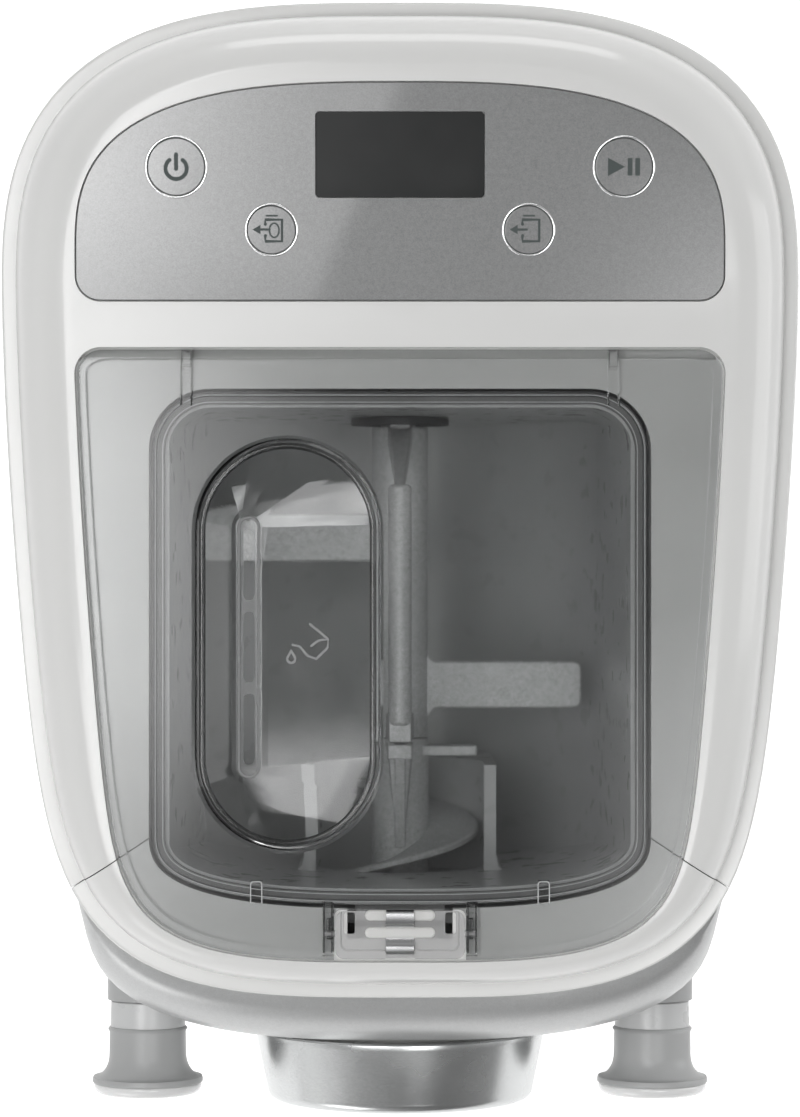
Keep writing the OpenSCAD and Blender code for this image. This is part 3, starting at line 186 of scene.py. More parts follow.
def bay_half(y, half, front):
    v = max(0, (SKIN_BEND_Y - y) / (SKIN_BEND_Y - front))
    return 0 if v >= 1 else half * (1 - v**2.75) ** (1 / 2.75)


def wider(a, b):
    """The wider of the shell and the bay, with a soft change from one to the other."""
    blend = 8
    return max(a, b) if a * b == 0 else max(a, b) + max(0, blend - abs(a - b)) ** 2 / (4 * blend)


def body_ring(half, back, front, bay, bay_front, z):
    """The egg-shaped shell at one height, widened by the front bay where that reaches further."""
    nose = min(front, bay_front)
    right = []
    for i in range(FINE, -1, -1):
        y = WIDE_Y - step_nose(i) * (WIDE_Y - nose)
        u = min(1, (WIDE_Y - y) / (WIDE_Y - front))
        right.append((wider(half * share_nose(u), bay_half(y, bay, bay_front)), y, z))
    right[0] = (0, nose, z)
    for i in range(1, FINE + 1):
        right.append((half * share_back(step_back(i)), WIDE_Y + (back - WIDE_Y) * step_back(i), z))
    return mirrored(right)


def shell_ring(z, d):
    """The body's ring at height z, drawn in by d; above its fullest place the bay closes in to the rim."""
    lip, back_tuck, front_tuck, bay_tuck = 1.2, 5, 3, 5
    drawn = max(0, (LEDGE_Z - z) / (LEDGE_Z - FOOT_H)) ** 1.4
    inset = d + max(0, FOOT_H + 5 - z) * 0.5
    half = BODY_W / 2 - lip - TUCK * drawn - inset
    back = BACK_Y - lip - back_tuck * drawn - inset
    front = RIM_FRONT + lip + front_tuck * drawn + inset
    sag = bay_tuck * (max(0, SKIN_PEAK - z) / (SKIN_PEAK - SKIN_FOOT)) ** 1.5
    rise = min(1, max(0, z + 0.8 * d - SKIN_PEAK) / (RIM_Z - SKIN_PEAK))
    close = 1 - math.sqrt(1 - rise * rise)
    full = body_ring(half, back, front, SKIN_HALF - TUCK * drawn - inset, SKIN_FRONT + sag + inset, z)
    plain = body_ring(half, back, front, 0, front, z)
    return [tuple(a + close * (b - a) for a, b in zip(p, q)) for p, q in zip(full, plain)]


def rim_ring(z, d):
    return body_ring(BODY_W / 2 - d, BACK_Y - d, RIM_FRONT + d, 0, RIM_FRONT + d, z)


def top_z(y):
    """Height of the top surface: flat over the lid, rising over the console, with a soft crease."""
    soft = 5
    rise = 0.5 * ((y - CREASE_Y) + math.sqrt((y - CREASE_Y) ** 2 + soft**2)) * math.tan(TILT)
    return DECK_Z + rise if y > CREASE_Y - 8 else DECK_Z


def top_ring(d):
    """The flat top's outline, drawn in by d."""
    front, back, half = LID_FRONT + d - EDGE_OUT, BACK_Y - 19.5 - d, TOP_HALF - d + EDGE_OUT
    right = [(half * share_top(step_nose(i)), WIDE_Y - step_nose(i) * (WIDE_Y - front))
             for i in range(FINE, -1, -1)]
    right += [(half * share_back(step_back(i)), WIDE_Y + (back - WIDE_Y) * step_back(i))
              for i in range(1, FINE + 1)]
    right[0] = (0, front)
    return mirrored(right)


def quarter(steps, first=0):
    """Sine and cosine at the steps of a quarter turn, for rounded edges."""
    return [(math.sin(a), math.cos(a)) for a in (math.pi / 2 * k / steps for k in range(first, steps + 1))]


def superarc(cx, cy, rx, ry, power, start, end, count):
    """Points of a superellipse's arc between two angles, in degrees."""
    points = []
    for k in range(count + 1):
        a = math.radians(start + (end - start) * k / count)
        c, s = math.cos(a), math.sin(a)
        points.append((cx + rx * math.copysign(abs(c) ** (2 / power), c),
                       cy + ry * math.copysign(abs(s) ** (2 / power), s)))
    return points


def arc(cx, cy, r, start, end, count):
    return superarc(cx, cy, r, r, 2, start, end, count)


def chamber_plan(d):
    """The chamber's rim seen from above, drawn in by d."""
    half, corner, bend, fullness = RIM_HALF - d, 16 - d, SEAM_Y + 0.5, 2.8
    right = superarc(0, bend, half, bend - CHAMBER_FRONT - d, fullness, -90, 0, 28)
    right += arc(half - corner, CHAMBER_BACK - d - corner, corner, 0, 90, 16)
    right.append((0, CHAMBER_BACK - d))
    return mirrored(right)


def lid_plan(d):
    """The lid's outline, drawn in by d."""
    front, half, corner = LID_FRONT + d - EDGE_OUT, TOP_HALF - d + EDGE_OUT, 7
    rear = LID_BACK - d
    corner_u = (WIDE_Y - (LID_BACK - corner)) / (WIDE_Y - front)
    right = [(0, front)]
    for i in range(FINE - 1, -1, -1):
        u = step_nose(i)
        if u > corner_u + 0.002:
            right.append((half * share_top(u), WIDE_Y - u * (WIDE_Y - front)))
    edge = half * share_top(corner_u)
    right += superarc(edge - corner, LID_BACK - corner, corner, rear - LID_BACK + corner, 2, 0, 90, 14)
    right.append((0, rear))
    return mirrored(right)


def panel_plan(d):
    """The control panel's outline on the console, drawn in by d."""
    side, fullness = 12, 2.9  # the length of its straight sides, the shape of its curved back
    half, depth, corner, low = PANEL_W / 2 - d, PANEL_D - side - d, 6.6 - d, PANEL_FRONT + d
    right = [(0, low)]
    right += arc(half - corner, low + corner, corner, -90, 0, 10)
    right += superarc(0, PANEL_FRONT + side, half, depth, fullness, 0, 90, 40)
    return mirrored(right)


def stadium(x, y, w, length):
    """An outline with two straight sides along Y and two round ends."""
    r = w / 2
    straight = length / 2 - r
    right = arc(0, -straight, r, -90, 0, 20) + arc(0, straight, r, 0, 90, 20)
    return [(px + x, py + y) for px, py in mirrored(right)]


def stadium_across(y, w, h):
    return [(q[1], -q[0] + y) for q in stadium(0, 0, h, w)]


def mouth_at(d):
    """The funnel's mouth, grown by d."""
    return stadium(FUNNEL_X, FUNNEL_Y, FUNNEL_W + 2 * d, FUNNEL_L + 2 * d)


def rectangle(x0, x1, y0, y1, r=0.0, count=6):
    if r == 0:
        return [(x0, y0), (x1, y0), (x1, y1), (x0, y1)]
    corners = (x1 - r, y0 + r, -90), (x1 - r, y1 - r, 0), (x0 + r, y1 - r, 90), (x0 + r, y0 + r, 180)
    return [p for cx, cy, start in corners for p in arc(cx, cy, r, start, start + 90, count)]


def window_plan(d, r=0.0):
    """The display's window on the console, drawn in by d."""
    half, depth = WINDOW_W / 2, WINDOW_D / 2
    return rectangle(-half + d, half - d, WINDOW_Y - depth + d, WINDOW_Y + depth - d, r)


# ---- Solids ----

def mesh_object(verts, faces):
    mesh = bpy.data.meshes.new("solid")
    mesh.from_pydata([[c * MM for c in v] for v in verts], [], faces)
    obj = bpy.data.objects.new("solid", mesh)
    bpy.context.scene.collection.objects.link(obj)
    return tidy(obj)


def tidy(obj):
    """Merges doubled points, drops loose edges and turns all faces outwards."""
    bm = bmesh.new()
    bm.from_mesh(obj.data)
    bmesh.ops.remove_doubles(bm, verts=bm.verts, dist=0.002 * MM)
    bmesh.ops.dissolve_degenerate(bm, edges=bm.edges, dist=1e-7)
    bmesh.ops.delete(bm, geom=[edge for edge in bm.edges if not edge.link_faces], context="EDGES")
    bmesh.ops.recalc_face_normals(bm, faces=bm.faces)
    bm.to_mesh(obj.data)
    bm.free()
    return obj


def level(outline, z):
    return [(x, y, z) for x, y in outline]


def strips(n, m, closed=False):
    """The faces between m rings of n points; closed adds those from the last ring to the first."""
    return [(k * n + i, k * n + (i + 1) % n, (k + 1) % m * n + (i + 1) % n, (k + 1) % m * n + i)
            for k in range(m if closed else m - 1) for i in range(n)]


def loft(rings, ladder=False):
    """A solid through rings of equal length; the ends are flat, or strips from side to side."""
    n = len(rings[0])
    faces = strips(n, len(rings))
    last = (len(rings) - 1) * n
    if ladder:
        for base, turn in ((0, -1), (last, 1)):
            for i in range(n // 2):
                left, next_left = (n - i) % n, n - i - 1
                strip = list(dict.fromkeys([base + i, base + i + 1, base + next_left, base + left]))
                faces.append(tuple(strip[::turn]))
    else:
        faces.append(tuple(range(n))[::-1])
        faces.append(tuple(range(last, last + n)))
    return mesh_object([v for ring in rings for v in ring], faces)


def prism(outline, z0, z1):
    return loft([level(outline, z) for z in (z0, z1)])


def stacked(plan, levels):
    """An upright solid through the outlines plan(d) at the given levels (z, d)."""
    return loft([level(plan(d), z) for z, d in levels])


def rounded_prism(plan, z0, z1, r, steps=4):
    """An upright solid whose top edge is rounded: plan(d) is its outline drawn in by d."""
    edge = [(z1 - r + r * s, r - r * c) for s, c in quarter(steps, 1)]
    return stacked(plan, [(z0, 0.0), (z1 - r, 0.0)] + edge)


def band(outer, inner, z0, z1):
    """A closed flat band between two outlines of equal length."""
    n = len(outer)
    verts = [(x, y, z) for z in (z0, z1) for ring in (outer, inner) for x, y in ring]
    faces = []
    for i in range(n):
        j = (i + 1) % n
        faces += [(i, j, 2 * n + j, 2 * n + i), (n + i, 3 * n + i, 3 * n + j, n + j),
                  (2 * n + i, 2 * n + j, 3 * n + j, 3 * n + i), (i, n + i, n + j, j)]
    return mesh_object(verts, faces)


def ring_loft(plan, points, top=DECK_Z):
    """A closed ring whose section runs through points of (inset, height from top)."""
    rings = [level(plan(d), top + h) for d, h in points]
    return mesh_object([v for ring in rings for v in ring], strips(len(rings[0]), len(rings), True))


def block(x0, x1, y0, y1, z0, z1):
    return prism(rectangle(x0, x1, y0, y1), z0, z1)


def bar(half, y0, y1, z0, z1):
    """A block centred on x = 0."""
    return block(-half, half, y0, y1, z0, z1)


def on_side(side, x0, x1):
    """Two places on one side of x = 0, in order."""
    return sorted((side * x0, side * x1))


def side_block(side, x0, x1, *rest):
    return block(*on_side(side, x0, x1), *rest)


def x_prism(outline, half, z):
    """An outline in Y and Z, raised by z and made thick along X."""
    return loft([[(x, y, z + h) for y, h in outline] for x in (-half, half)])


def lathe(profile, axis, at, segments=96):
    """Turns a closed profile of (radius, place along the axis) round an axis."""
    verts = []
    for s in range(segments):
        a = 2 * math.pi * s / segments
        for r, h in profile:
            u, v = r * math.cos(a), r * math.sin(a)
            local = (u, h, v) if axis == "Y" else (u, v, h)
            verts.append([p + q for p, q in zip(local, at)])
    return mesh_object(verts, [(a, d, c, b) for a, b, c, d in strips(len(profile), segments, True)])


def rod(r, y0, y1, x=0.0, z=0.0, segments=96, edge=0.0):
    """A rod along Y, with its two ends' edges rounded where edge is given."""
    tip = [(r - edge + edge * s, edge - edge * c) for s, c in quarter(4)] if edge else [(r, 0)]
    profile = [(0, y0)] + [(q, y0 + h) for q, h in tip] + [(q, y1 - h) for q, h in tip[::-1]] + [(0, y1)]
    return lathe(profile, "Y", (x, 0, z), segments)


def axis_rod(r, y0, y1, segments=96, edge=0.0):
    """A rod on the axis of the stirring rod and the nut."""
    return rod(r, y0, y1, 0, AXIS_Z, segments, edge)


def slab(outline, y0, y1):
    """A flat outline in X and Z, made thick along Y."""
    return tidy(moved(prism(outline, y0, y1), SWAP_YZ))


def moved(obj, matrix):
    obj.data.transform(matrix)
    return obj


def shifted(obj, x=0.0, y=0.0, z=0.0):
    return moved(obj, Matrix.Translation((x * MM, y * MM, z * MM)))


def on_console(obj):
    return moved(obj, CONSOLE)


def flipped(obj):
    """A mirror image of obj across x = 0."""
    twin = obj.copy()
    twin.data = obj.data.copy()
    bpy.context.scene.collection.objects.link(twin)
    return tidy(moved(twin, MIRROR_X))


def applied(obj):
    """Applies the modifiers of obj."""
    graph = bpy.context.evaluated_depsgraph_get()
    mesh = bpy.data.meshes.new_from_object(obj.evaluated_get(graph))
    obj.modifiers.clear()
    old = obj.data
    obj.data = mesh
    bpy.data.meshes.remove(old)
    return obj


def combine(obj, others, operation):
    for other in others:
        modifier = obj.modifiers.new("combine", "BOOLEAN")
        modifier.operation = operation
        modifier.solver = "MANIFOLD"
        modifier.object = other
    applied(obj)
    for other in others:
        bpy.data.objects.remove(other)
    return obj


def cut(obj, *others):
    return combine(obj, others, "DIFFERENCE")


def joined(obj, *others):
    return combine(obj, others, "UNION")


def common(obj, *others):
    return combine(obj, others, "INTERSECT")


def bevelled(obj, width):
    modifier = obj.modifiers.new("edges", "BEVEL")
    modifier.width = width * MM
    modifier.segments = 3
    modifier.limit_method = "ANGLE"
    modifier.angle_limit = math.radians(35)
    return applied(obj)


def smooth(obj, angle):
    obj.data.shade_smooth()
    obj.data.set_sharp_from_angle(angle=math.radians(angle))


def flat_first(obj):
    """Shading that keeps large faces flat and leaves the bend to the small faces of an edge."""
    modifier = obj.modifiers.new("normals", "WEIGHTED_NORMAL")
    modifier.mode = "FACE_AREA"
    modifier.weight = 100
    modifier.keep_sharp = True
    applied(obj)


def across(obj):
    """Turns a rod along Y to lie along X."""
    return moved(obj, Matrix.Rotation(-math.pi / 2, 4, "Z"))


def hinge_rod(r, x0, x1):
    """A rod along the lid's hinge."""
    return shifted(across(rod(r, x0, x1)), 0, HINGE_Y, LID_UNDER)


def before_seam(low, high, shift=0.0):
    """Everything in front of the seam between the body and its removable front."""
    straight, slope, ahead = 66, 0.66, -300
    slant = SEAM_Y - (FAR - straight) * slope
    outline = [(-FAR, ahead), (FAR, ahead), (FAR, slant), (straight, SEAM_Y), (-straight, SEAM_Y),
               (-FAR, slant)]
    return prism([(x, y - shift) for x, y in outline], low, high)


def shell_solid(d, low, high):
    """The body's shape between two heights, drawn in by d, with more rings where it bends."""
    heights = [FOOT_H + 1, FOOT_H + 2.5, FOOT_H + 5, 20, 40, 60, 80, 100, SKIN_FOOT, 135, 165, 190, 210, 230]
    heights += [SKIN_PEAK + (RIM_Z - SKIN_PEAK) * math.sin(math.radians(a)) for a in range(0, 90, 9)]
    levels = [low] + [z for z in heights if low + 1 < z < high - 1] + [high]
    return loft([shell_ring(z, d) for z in levels], ladder=True)


def shell_wall(low, high, wall=WALL):
    return cut(shell_solid(0, low, high), shell_solid(wall, low - 1, high + 1))


def shoulder_rings(ledge, low, top, drop):
    """Rings from the ledge's inner edge over the shoulder to the flat top."""
    rings = []
    for s, c in quarter(14, 1):
        ring = []
        for p, q in zip(ledge, top):
            x = p[0] + (q[0] - p[0]) * (1 - c)
            y = p[1] + (q[1] - p[1]) * (1 - c)
            ring.append((x, y, low + (top_z(q[1]) - drop - low) * s))
        rings.append(ring)
    return rings


def key_bores(depth, segments=96):
    """The four buttons' holes through the console, rings included."""
    return [lathe([(0, -depth), (r + RING_W + 0.1, -depth), (r + RING_W + 0.1, 5), (0, 5)], "Z",
                  (s * x, y, 0), segments) for (x, y), r in KEY_SIZES for s in SIDES]


def top_shell():
    """The cover and the front's rim in one: ledge, shoulder and deck, with the lid's recess."""
    lip = [(RIM_Z, 1.0), (RIM_Z + 0.4, 0.5), (RIM_Z + 1.2, 0.15), (RIM_Z + 3, 0), (LEDGE_Z - 1, 0),
           (LEDGE_Z - 0.4, 0.12), (LEDGE_Z - 0.12, 0.4), (LEDGE_Z, 0.9)]
    ledge = rim_ring(LEDGE_Z, LEDGE_W)
    shell = loft([rim_ring(z, d) for z, d in lip] + [ledge] + shoulder_rings(ledge, LEDGE_Z, top_ring(0), 0),
                 ladder=True)
    low = LEDGE_Z - WALL
    ledge = rim_ring(low, LEDGE_W + WALL)
    hollow = loft([rim_ring(RIM_Z - 1, WALL + 1), rim_ring(low - 1, WALL + 1), ledge]
                  + shoulder_rings(ledge, low, top_ring(WALL), DECK_Z - DECK_UNDER), ladder=True)
    cut(shell, hollow)
    groove_half = TOP_HALF + 0.2
    joined(shell, bar(groove_half + 1, CHAMBER_BACK + 1.5, CREASE_Y + PANEL_FRONT - 1, DECK_UNDER - 3,
                      RECESS_Z))
    groove = hinge_rod(LID_T + GAP, -groove_half, groove_half)
    common(groove, bar(BODY_W, HINGE_Y - 0.2, BODY_W, RIM_Z, DECK_Z - 0.5))
    cut(shell, prism(lid_plan(0), RECESS_Z, DECK_Z + 20), prism(chamber_plan(-GAP), RIM_Z, ABOVE), groove,
        on_console(prism(panel_plan(-0.2), -PANEL_T, 20)),
        bar(14, LATCH_BACK - 8, CHAMBER_FRONT + 5, RIM_Z, DECK_Z))
    return cut(shell, *map(on_console, key_bores(20, 64)), on_console(prism(window_plan(2), -20, 5)))


# ---- Materials ----

MATERIALS = {}


def nodes_of(name):
    """Starts a material and returns its node tree and shader."""
    material = MATERIALS[name] = bpy.data.materials.new(name)
    material.use_nodes = True
    return material.node_tree, material.node_tree.nodes["Principled BSDF"]


def feed(tree, socket, value):
    """Links an output to a socket, or writes a value on it."""
    if isinstance(value, bpy.types.NodeSocket):
        tree.links.new(value, socket)
    else:
        socket.default_value = value


def put(tree, node, **inputs):
    """Feeds a node's inputs by name, with _ for each space."""
    for name, value in inputs.items():
        feed(tree, node.inputs[name.replace("_", " ")], value)


def new_node(tree, kind, **inputs):
    node = tree.nodes.new("ShaderNode" + kind)
    put(tree, node, **inputs)
    return node


def arithmetic(tree, operation, *values):
    node = new_node(tree, "Math")
    node.operation = operation
    for socket, value in zip(node.inputs, values):
        feed(tree, socket, value)
    return node.outputs["Value"]


def any_ray(tree, *kinds):
    """1 for the named kinds of ray, 0 for the rest."""
    path = new_node(tree, "LightPath")
    total = path.outputs[kinds[0]]
    for kind in kinds[1:]:
        total = arithmetic(tree, "MAXIMUM", total, path.outputs[kind])
    return total


def coordinates(tree, scale=(1, 1, 1)):
    """Object coordinates in millimetres, stretched by scale."""
    place = new_node(tree, "TexCoord").outputs["Object"]
    return new_node(tree, "Mapping", Scale=[s / MM for s in scale], Vector=place).outputs["Vector"]


def noise(tree, vector, per_mm, detail, roughness=0.5):
    return new_node(tree, "TexNoise", Scale=per_mm, Detail=detail, Roughness=roughness,
                    Vector=vector).outputs["Fac"]


def remap(tree, value, low, high, start=0.3, end=0.7):
    """Goes from low to high as value goes from start to end."""
    return new_node(tree, "MapRange", From_Min=start, From_Max=end, To_Min=low, To_Max=high,
                    Value=value).outputs["Result"]


def shades(tree, value, colour, spread, start=0.3, end=0.7):
    """A colour that gets darker and lighter by spread as value goes from start to end."""
    ramp = new_node(tree, "ValToRGB", Fac=value)
    low, high = ramp.color_ramp.elements
    low.position, high.position = start, end
    low.color = [c * (1 - spread) for c in colour] + [1]
    high.color = [min(1, c * (1 + spread)) for c in colour] + [1]
    return ramp.outputs["Color"]


def bump(tree, height, distance, edge=0.0):
    """A normal with a fine relief; edge rounds the look of sharp edges by that radius."""
    node = new_node(tree, "Bump", Distance=distance * MM, Strength=1.0, Height=height)
    if edge:
        rounded = new_node(tree, "Bevel", Radius=edge * MM)
        rounded.samples = 4
        put(tree, node, Normal=rounded.outputs["Normal"])
    return node.outputs["Normal"]


def moulded(name, colour, rough, coat=0.0, grain=2.5, relief=0.01, spread=0.03, edge=0.0, specular=0.5):
    """Moulded plastic: faint cloudy tone, uneven gloss and a fine surface grain."""
    tree, shader = nodes_of(name)
    vector = coordinates(tree)
    put(tree, shader, Base_Color=shades(tree, noise(tree, vector, 0.03, 4), colour, spread),
        Roughness=remap(tree, noise(tree, vector, 0.15, 5), rough * 0.85, min(1, rough * 1.15)),
        Normal=bump(tree, noise(tree, vector, grain, 3), relief, edge),
        Coat_Weight=coat, Coat_Roughness=0.06, Specular_IOR_Level=specular)


def flaked(name, colour, rough, coat, metal, flake, spread, relief, edge=0.0, coat_ior=1.5):
    """Metallic paint or moulding with fine bright flakes of about flake millimetres."""
    tree, shader = nodes_of(name)
    vector = coordinates(tree)
    cells = new_node(tree, "TexVoronoi", Scale=1 / flake, Vector=vector)
    pick = new_node(tree, "SeparateColor", Color=cells.outputs["Color"]).outputs
    cloud = remap(tree, noise(tree, vector, 0.8, 4, 0.6), 0.0, 0.4)
    tone = arithmetic(tree, "MULTIPLY_ADD", pick["Red"], 0.6, cloud)
    put(tree, shader, Base_Color=shades(tree, tone, colour, spread, 0.0, 1.0),
        Roughness=remap(tree, pick["Green"], rough * 0.8, rough * 1.25, 0, 1),
        Normal=bump(tree, pick["Blue"], relief, edge), Metallic=metal, Coat_Weight=coat, Coat_Roughness=0.05,
        Coat_IOR=coat_ior)


def brushed(name, colour, rough, along=(1, 1, 1), lines=6.0, relief=0.01, spread=0.12, edge=0.0):
    """Metal with fine drawn lines; along stretches them."""
    tree, shader = nodes_of(name)
    streaks = noise(tree, coordinates(tree, along), lines, 4, 0.65)
    put(tree, shader, Base_Color=shades(tree, streaks, colour, spread),
        Roughness=remap(tree, noise(tree, coordinates(tree), 0.05, 3), rough * 0.8, rough * 1.2),
        Normal=bump(tree, streaks, relief, edge), Metallic=1.0)


def clear(name, tint, rough, ior=1.46, haze=0.0):
    """Clear moulded plastic: light passes through it to what lies below."""
    tree, shader = nodes_of(name)
    vector = coordinates(tree)
    put(tree, shader, Base_Color=shades(tree, noise(tree, vector, 0.02, 3), tint, 0.04),
        Roughness=remap(tree, noise(tree, vector, 0.1, 5), rough * 0.6, rough * 1.6),
        Normal=bump(tree, noise(tree, vector, 0.25, 2), 0.004), Transmission_Weight=1 - haze, IOR=ior)
    through = new_node(tree, "BsdfTransparent", Color=[0.98 * c**0.5 for c in tint] + [1])
    mix = new_node(tree, "MixShader", Fac=any_ray(tree, "Is Shadow Ray"))
    feed(tree, mix.inputs[1], shader.outputs["BSDF"])
    feed(tree, mix.inputs[2], through.outputs["BSDF"])
    feed(tree, tree.nodes["Material Output"].inputs["Surface"], mix.outputs["Shader"])


# the record's material slots
moulded("housing", (0.75, 0.75, 0.74), 0.22, 0.4, grain=1.2, relief=0.004, spread=0.012, edge=0.35,
        specular=0.3)
moulded("base", (0.50, 0.50, 0.50), 0.5, grain=3, relief=0.03, edge=0.3)
moulded("rubber", (0.045, 0.045, 0.047), 0.75, grain=4, relief=0.04, spread=0.12, edge=0.3)
brushed("steel", (0.56, 0.57, 0.58), 0.3, (1, 0.15, 1), 5, edge=0.15)
flaked("panel", (0.165, 0.168, 0.168), 0.42, 1.0, metal=0.25, flake=0.22, spread=0.2, relief=0.006,
       coat_ior=1.7)
moulded("display", (0.034, 0.035, 0.035), 0.16, grain=3, relief=0.002, spread=0.1, specular=0.15)
brushed("bright_ring", (0.80, 0.81, 0.81), 0.12, lines=2.0, relief=0.004, spread=0.05)
moulded("board", (0.02, 0.14, 0.07), 0.35, grain=2, relief=0.02, spread=0.2, edge=0.2)
moulded("dark_plastic", (0.035, 0.036, 0.04), 0.45, grain=3, relief=0.03, spread=0.1, edge=0.2)
moulded("inner_plastic", (0.62, 0.62, 0.61), 0.45, grain=2, relief=0.02, edge=0.3)
brushed("aluminium", (0.66, 0.67, 0.68), 0.38, lines=1.5, relief=0.04, edge=0.3)
brushed("brass", (0.72, 0.52, 0.22), 0.28, (1, 0.2, 1), 5, edge=0.15)
moulded("gear_plastic", (0.74, 0.72, 0.64), 0.4, grain=2, relief=0.02)
moulded("chamber", (0.60, 0.604, 0.604), 0.3, 0.2, grain=1.5, relief=0.0005, spread=0.04)
flaked("stirrer", (0.66, 0.665, 0.665), 0.42, 0.0, metal=0.2, flake=0.2, spread=0.3, relief=0.008, edge=0.35)
moulded("knob_grey", (0.42, 0.425, 0.425), 0.38, grain=3, relief=0.02, edge=0.25)
moulded("knob_cap", (0.80, 0.80, 0.80), 0.15, 0.8, grain=1, relief=0.003)
flaked("brushed_silver", (0.50, 0.505, 0.505), 0.36, 0.1, metal=0.6, flake=0.18, spread=0.08, relief=0.004,
       edge=0.3)
moulded("disc_plastic", (0.74, 0.74, 0.71), 0.35, grain=2, edge=0.15)
clear("clear_lid", (0.50, 0.505, 0.505), 0.05, ior=1.42)
moulded("lid_seal", (0.2, 0.2, 0.2), 0.5, grain=3, relief=0.03, edge=0.2)
clear("latch", (0.62, 0.62, 0.62), 0.08, haze=0.4)
# finer looks inside those slots
moulded("icon", (0.09, 0.105, 0.103), 0.6, grain=3, relief=0.004, spread=0.06, specular=0.1)
brushed("nut_metal", (0.60, 0.61, 0.61), 0.26, (0.35, 3.0, 0.35), 2.5, relief=0.008, spread=0.10)
moulded("knob_collar", (0.60, 0.605, 0.605), 0.3, grain=3, relief=0.008, edge=0.2)
# a dark tint as painted shade on clear edges and walls seen at a slant
clear("painted_shade_tint", (0.20, 0.205, 0.205), 0.08)
# a light grey as a painted highlight on the lid's clear ridges
moulded("painted_highlight_line", (0.34, 0.345, 0.345), 0.25, 0.6, grain=3, relief=0.003)
moulded("clear_mark", (0.2, 0.203, 0.203), 0.25, 0.4, grain=3, relief=0.003)
# a light grey as a painted highlight on thin clear edges
moulded("painted_highlight_edge", (0.80, 0.81, 0.81), 0.2, 0.5, grain=3, relief=0.003)
brushed("clip", (0.55, 0.555, 0.56), 0.2, (0.2, 2, 1), 4, relief=0.002, spread=0.05)
clear("latch_grip", (0.72, 0.72, 0.71), 0.4, haze=0.55)


# ---- Pieces ----

SHARP, SHELL_SHARP = 32, 25  # degrees between two faces from which their edge is drawn sharp


def piece(obj, name, body, slot, *nodes, angle=SHARP, look=None, weighted=True):
    """Names a finished piece, gives it its material, ties it to its body, and hides the nodes it stands for."""
    obj.name = obj.data.name = name
    obj.data.materials.clear()
    obj.data.materials.append(MATERIALS[look or slot])
    smooth(obj, angle)
    if weighted:
        flat_first(obj)
    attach(obj, body)
    if nodes:
        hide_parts(*nodes)


def dress_nodes():
    """Every CAD node takes the material of its slot in the record, and smooth shading."""
    slots = {part["node"]: part["material_slot"] for part in frame["record"]["subparts"]}
    for name, obj in frame["nodes"].items():
        obj.data.materials.clear()
        obj.data.materials.append(MATERIALS[slots[name]])
        if not obj.data.has_custom_normals:
            smooth(obj, SHARP)


# ---- Body, cover and front ----

def dress_body():
    shell = top_shell()
    rim = common(flipped(shell), before_seam(RIM_Z - 5, ABOVE, GAP))  # its two sides are alike
    cover = cut(shell, before_seam(RIM_Z - 5, ABOVE))
    for x in (-EAR_X, EAR_X):
        joined(cover, hinge_rod(EAR_R, x - EAR_W / 2, x + EAR_W / 2),
               block(x - EAR_W / 2, x + EAR_W / 2, HINGE_Y - 2.9, HINGE_Y + 0.3, DECK_UNDER - 3, LID_UNDER))
    piece(cover, "cover_shell", "root", "housing", "top_cover", angle=SHELL_SHARP)
    piece(rim, "front_rim_shell", "front", "housing", "front_rim", angle=SHELL_SHARP)

    body = shell_wall(FOOT_H, RIM_Z)
    cut(body, before_seam(SKIN_FOOT, RIM_Z + 1),
        bar(DRAWER_W / 2 + GAP, -FAR, RIM_FRONT + 20, DRAWER_LOW - GAP, DRAWER_TOP + GAP),
        bar(GRILLE_HALF + GAP, WIDE_Y, FAR, GRILLE_LOW - GAP, GRILLE_TOP + GAP),
        rod(GLAND_R, WIDE_Y, FAR, GLAND_X, GLAND_Z))
    shelf = common(shell_solid(WALL - 0.1, SKIN_FOOT - 3, SKIN_FOOT),
                   before_seam(SKIN_FOOT - 5, SKIN_FOOT + 1, -1.5))
    piece(joined(body, shelf), "body_shell", "root", "housing", "main_housing", angle=SHELL_SHARP)

    drawer = common(shell_wall(FOOT_H + 1, DRAWER_TOP + 10),
                    bevelled(bar(DRAWER_W / 2, -FAR, RIM_FRONT + 20, DRAWER_LOW, DRAWER_TOP), 1.2))
    piece(drawer, "drawer_panel", "drawer", "housing", "drawer_front", angle=SHELL_SHARP)

    slot_pitch, slot_half, margin = 6, 1.4, 6
    grille = common(shell_wall(GRILLE_LOW - 5, GRILLE_TOP + 5),
                    bar(GRILLE_HALF, WIDE_Y, FAR, GRILLE_LOW, GRILLE_TOP))
    cut(grille, *[slab(rectangle(i * slot_pitch - slot_half, i * slot_pitch + slot_half, GRILLE_LOW + margin,
                                 GRILLE_TOP - margin, 1.35), WIDE_Y, FAR) for i in range(-5, 6)])
    piece(grille, "vent_grille", "root", "housing", "rear_grille", angle=SHELL_SHARP)

    skin = common(shell_wall(SKIN_FOOT + GAP, RIM_Z, 2), before_seam(SKIN_FOOT - 1, RIM_Z + 1, GAP))
    cut(skin, *[rod(BOSS_R + 0.1, -FAR, SEAM_Y, x, AXIS_Z) for x in (KNOB_X, -KNOB_X)],
        axis_rod(TUBE_FLANGE_R + 1, -FAR, FRAME_Y - 3))
    piece(skin, "front_skin_shell", "front", "brushed_silver", "front_skin", angle=SHELL_SHARP)


# ---- Console ----

ICON_H = 0.06


def ring_profile(r, w, low, high, edge):
    """A ring's section with rounded top edges."""
    turn = [(edge * s, edge * c) for s, c in quarter(4)]
    outer = [(r + w - edge + u, high - edge + v) for u, v in turn]
    inner = [(r + edge - u, high - edge + v) for u, v in turn[::-1]]
    return [(r, low)] + inner + outer + [(r + w, low)]


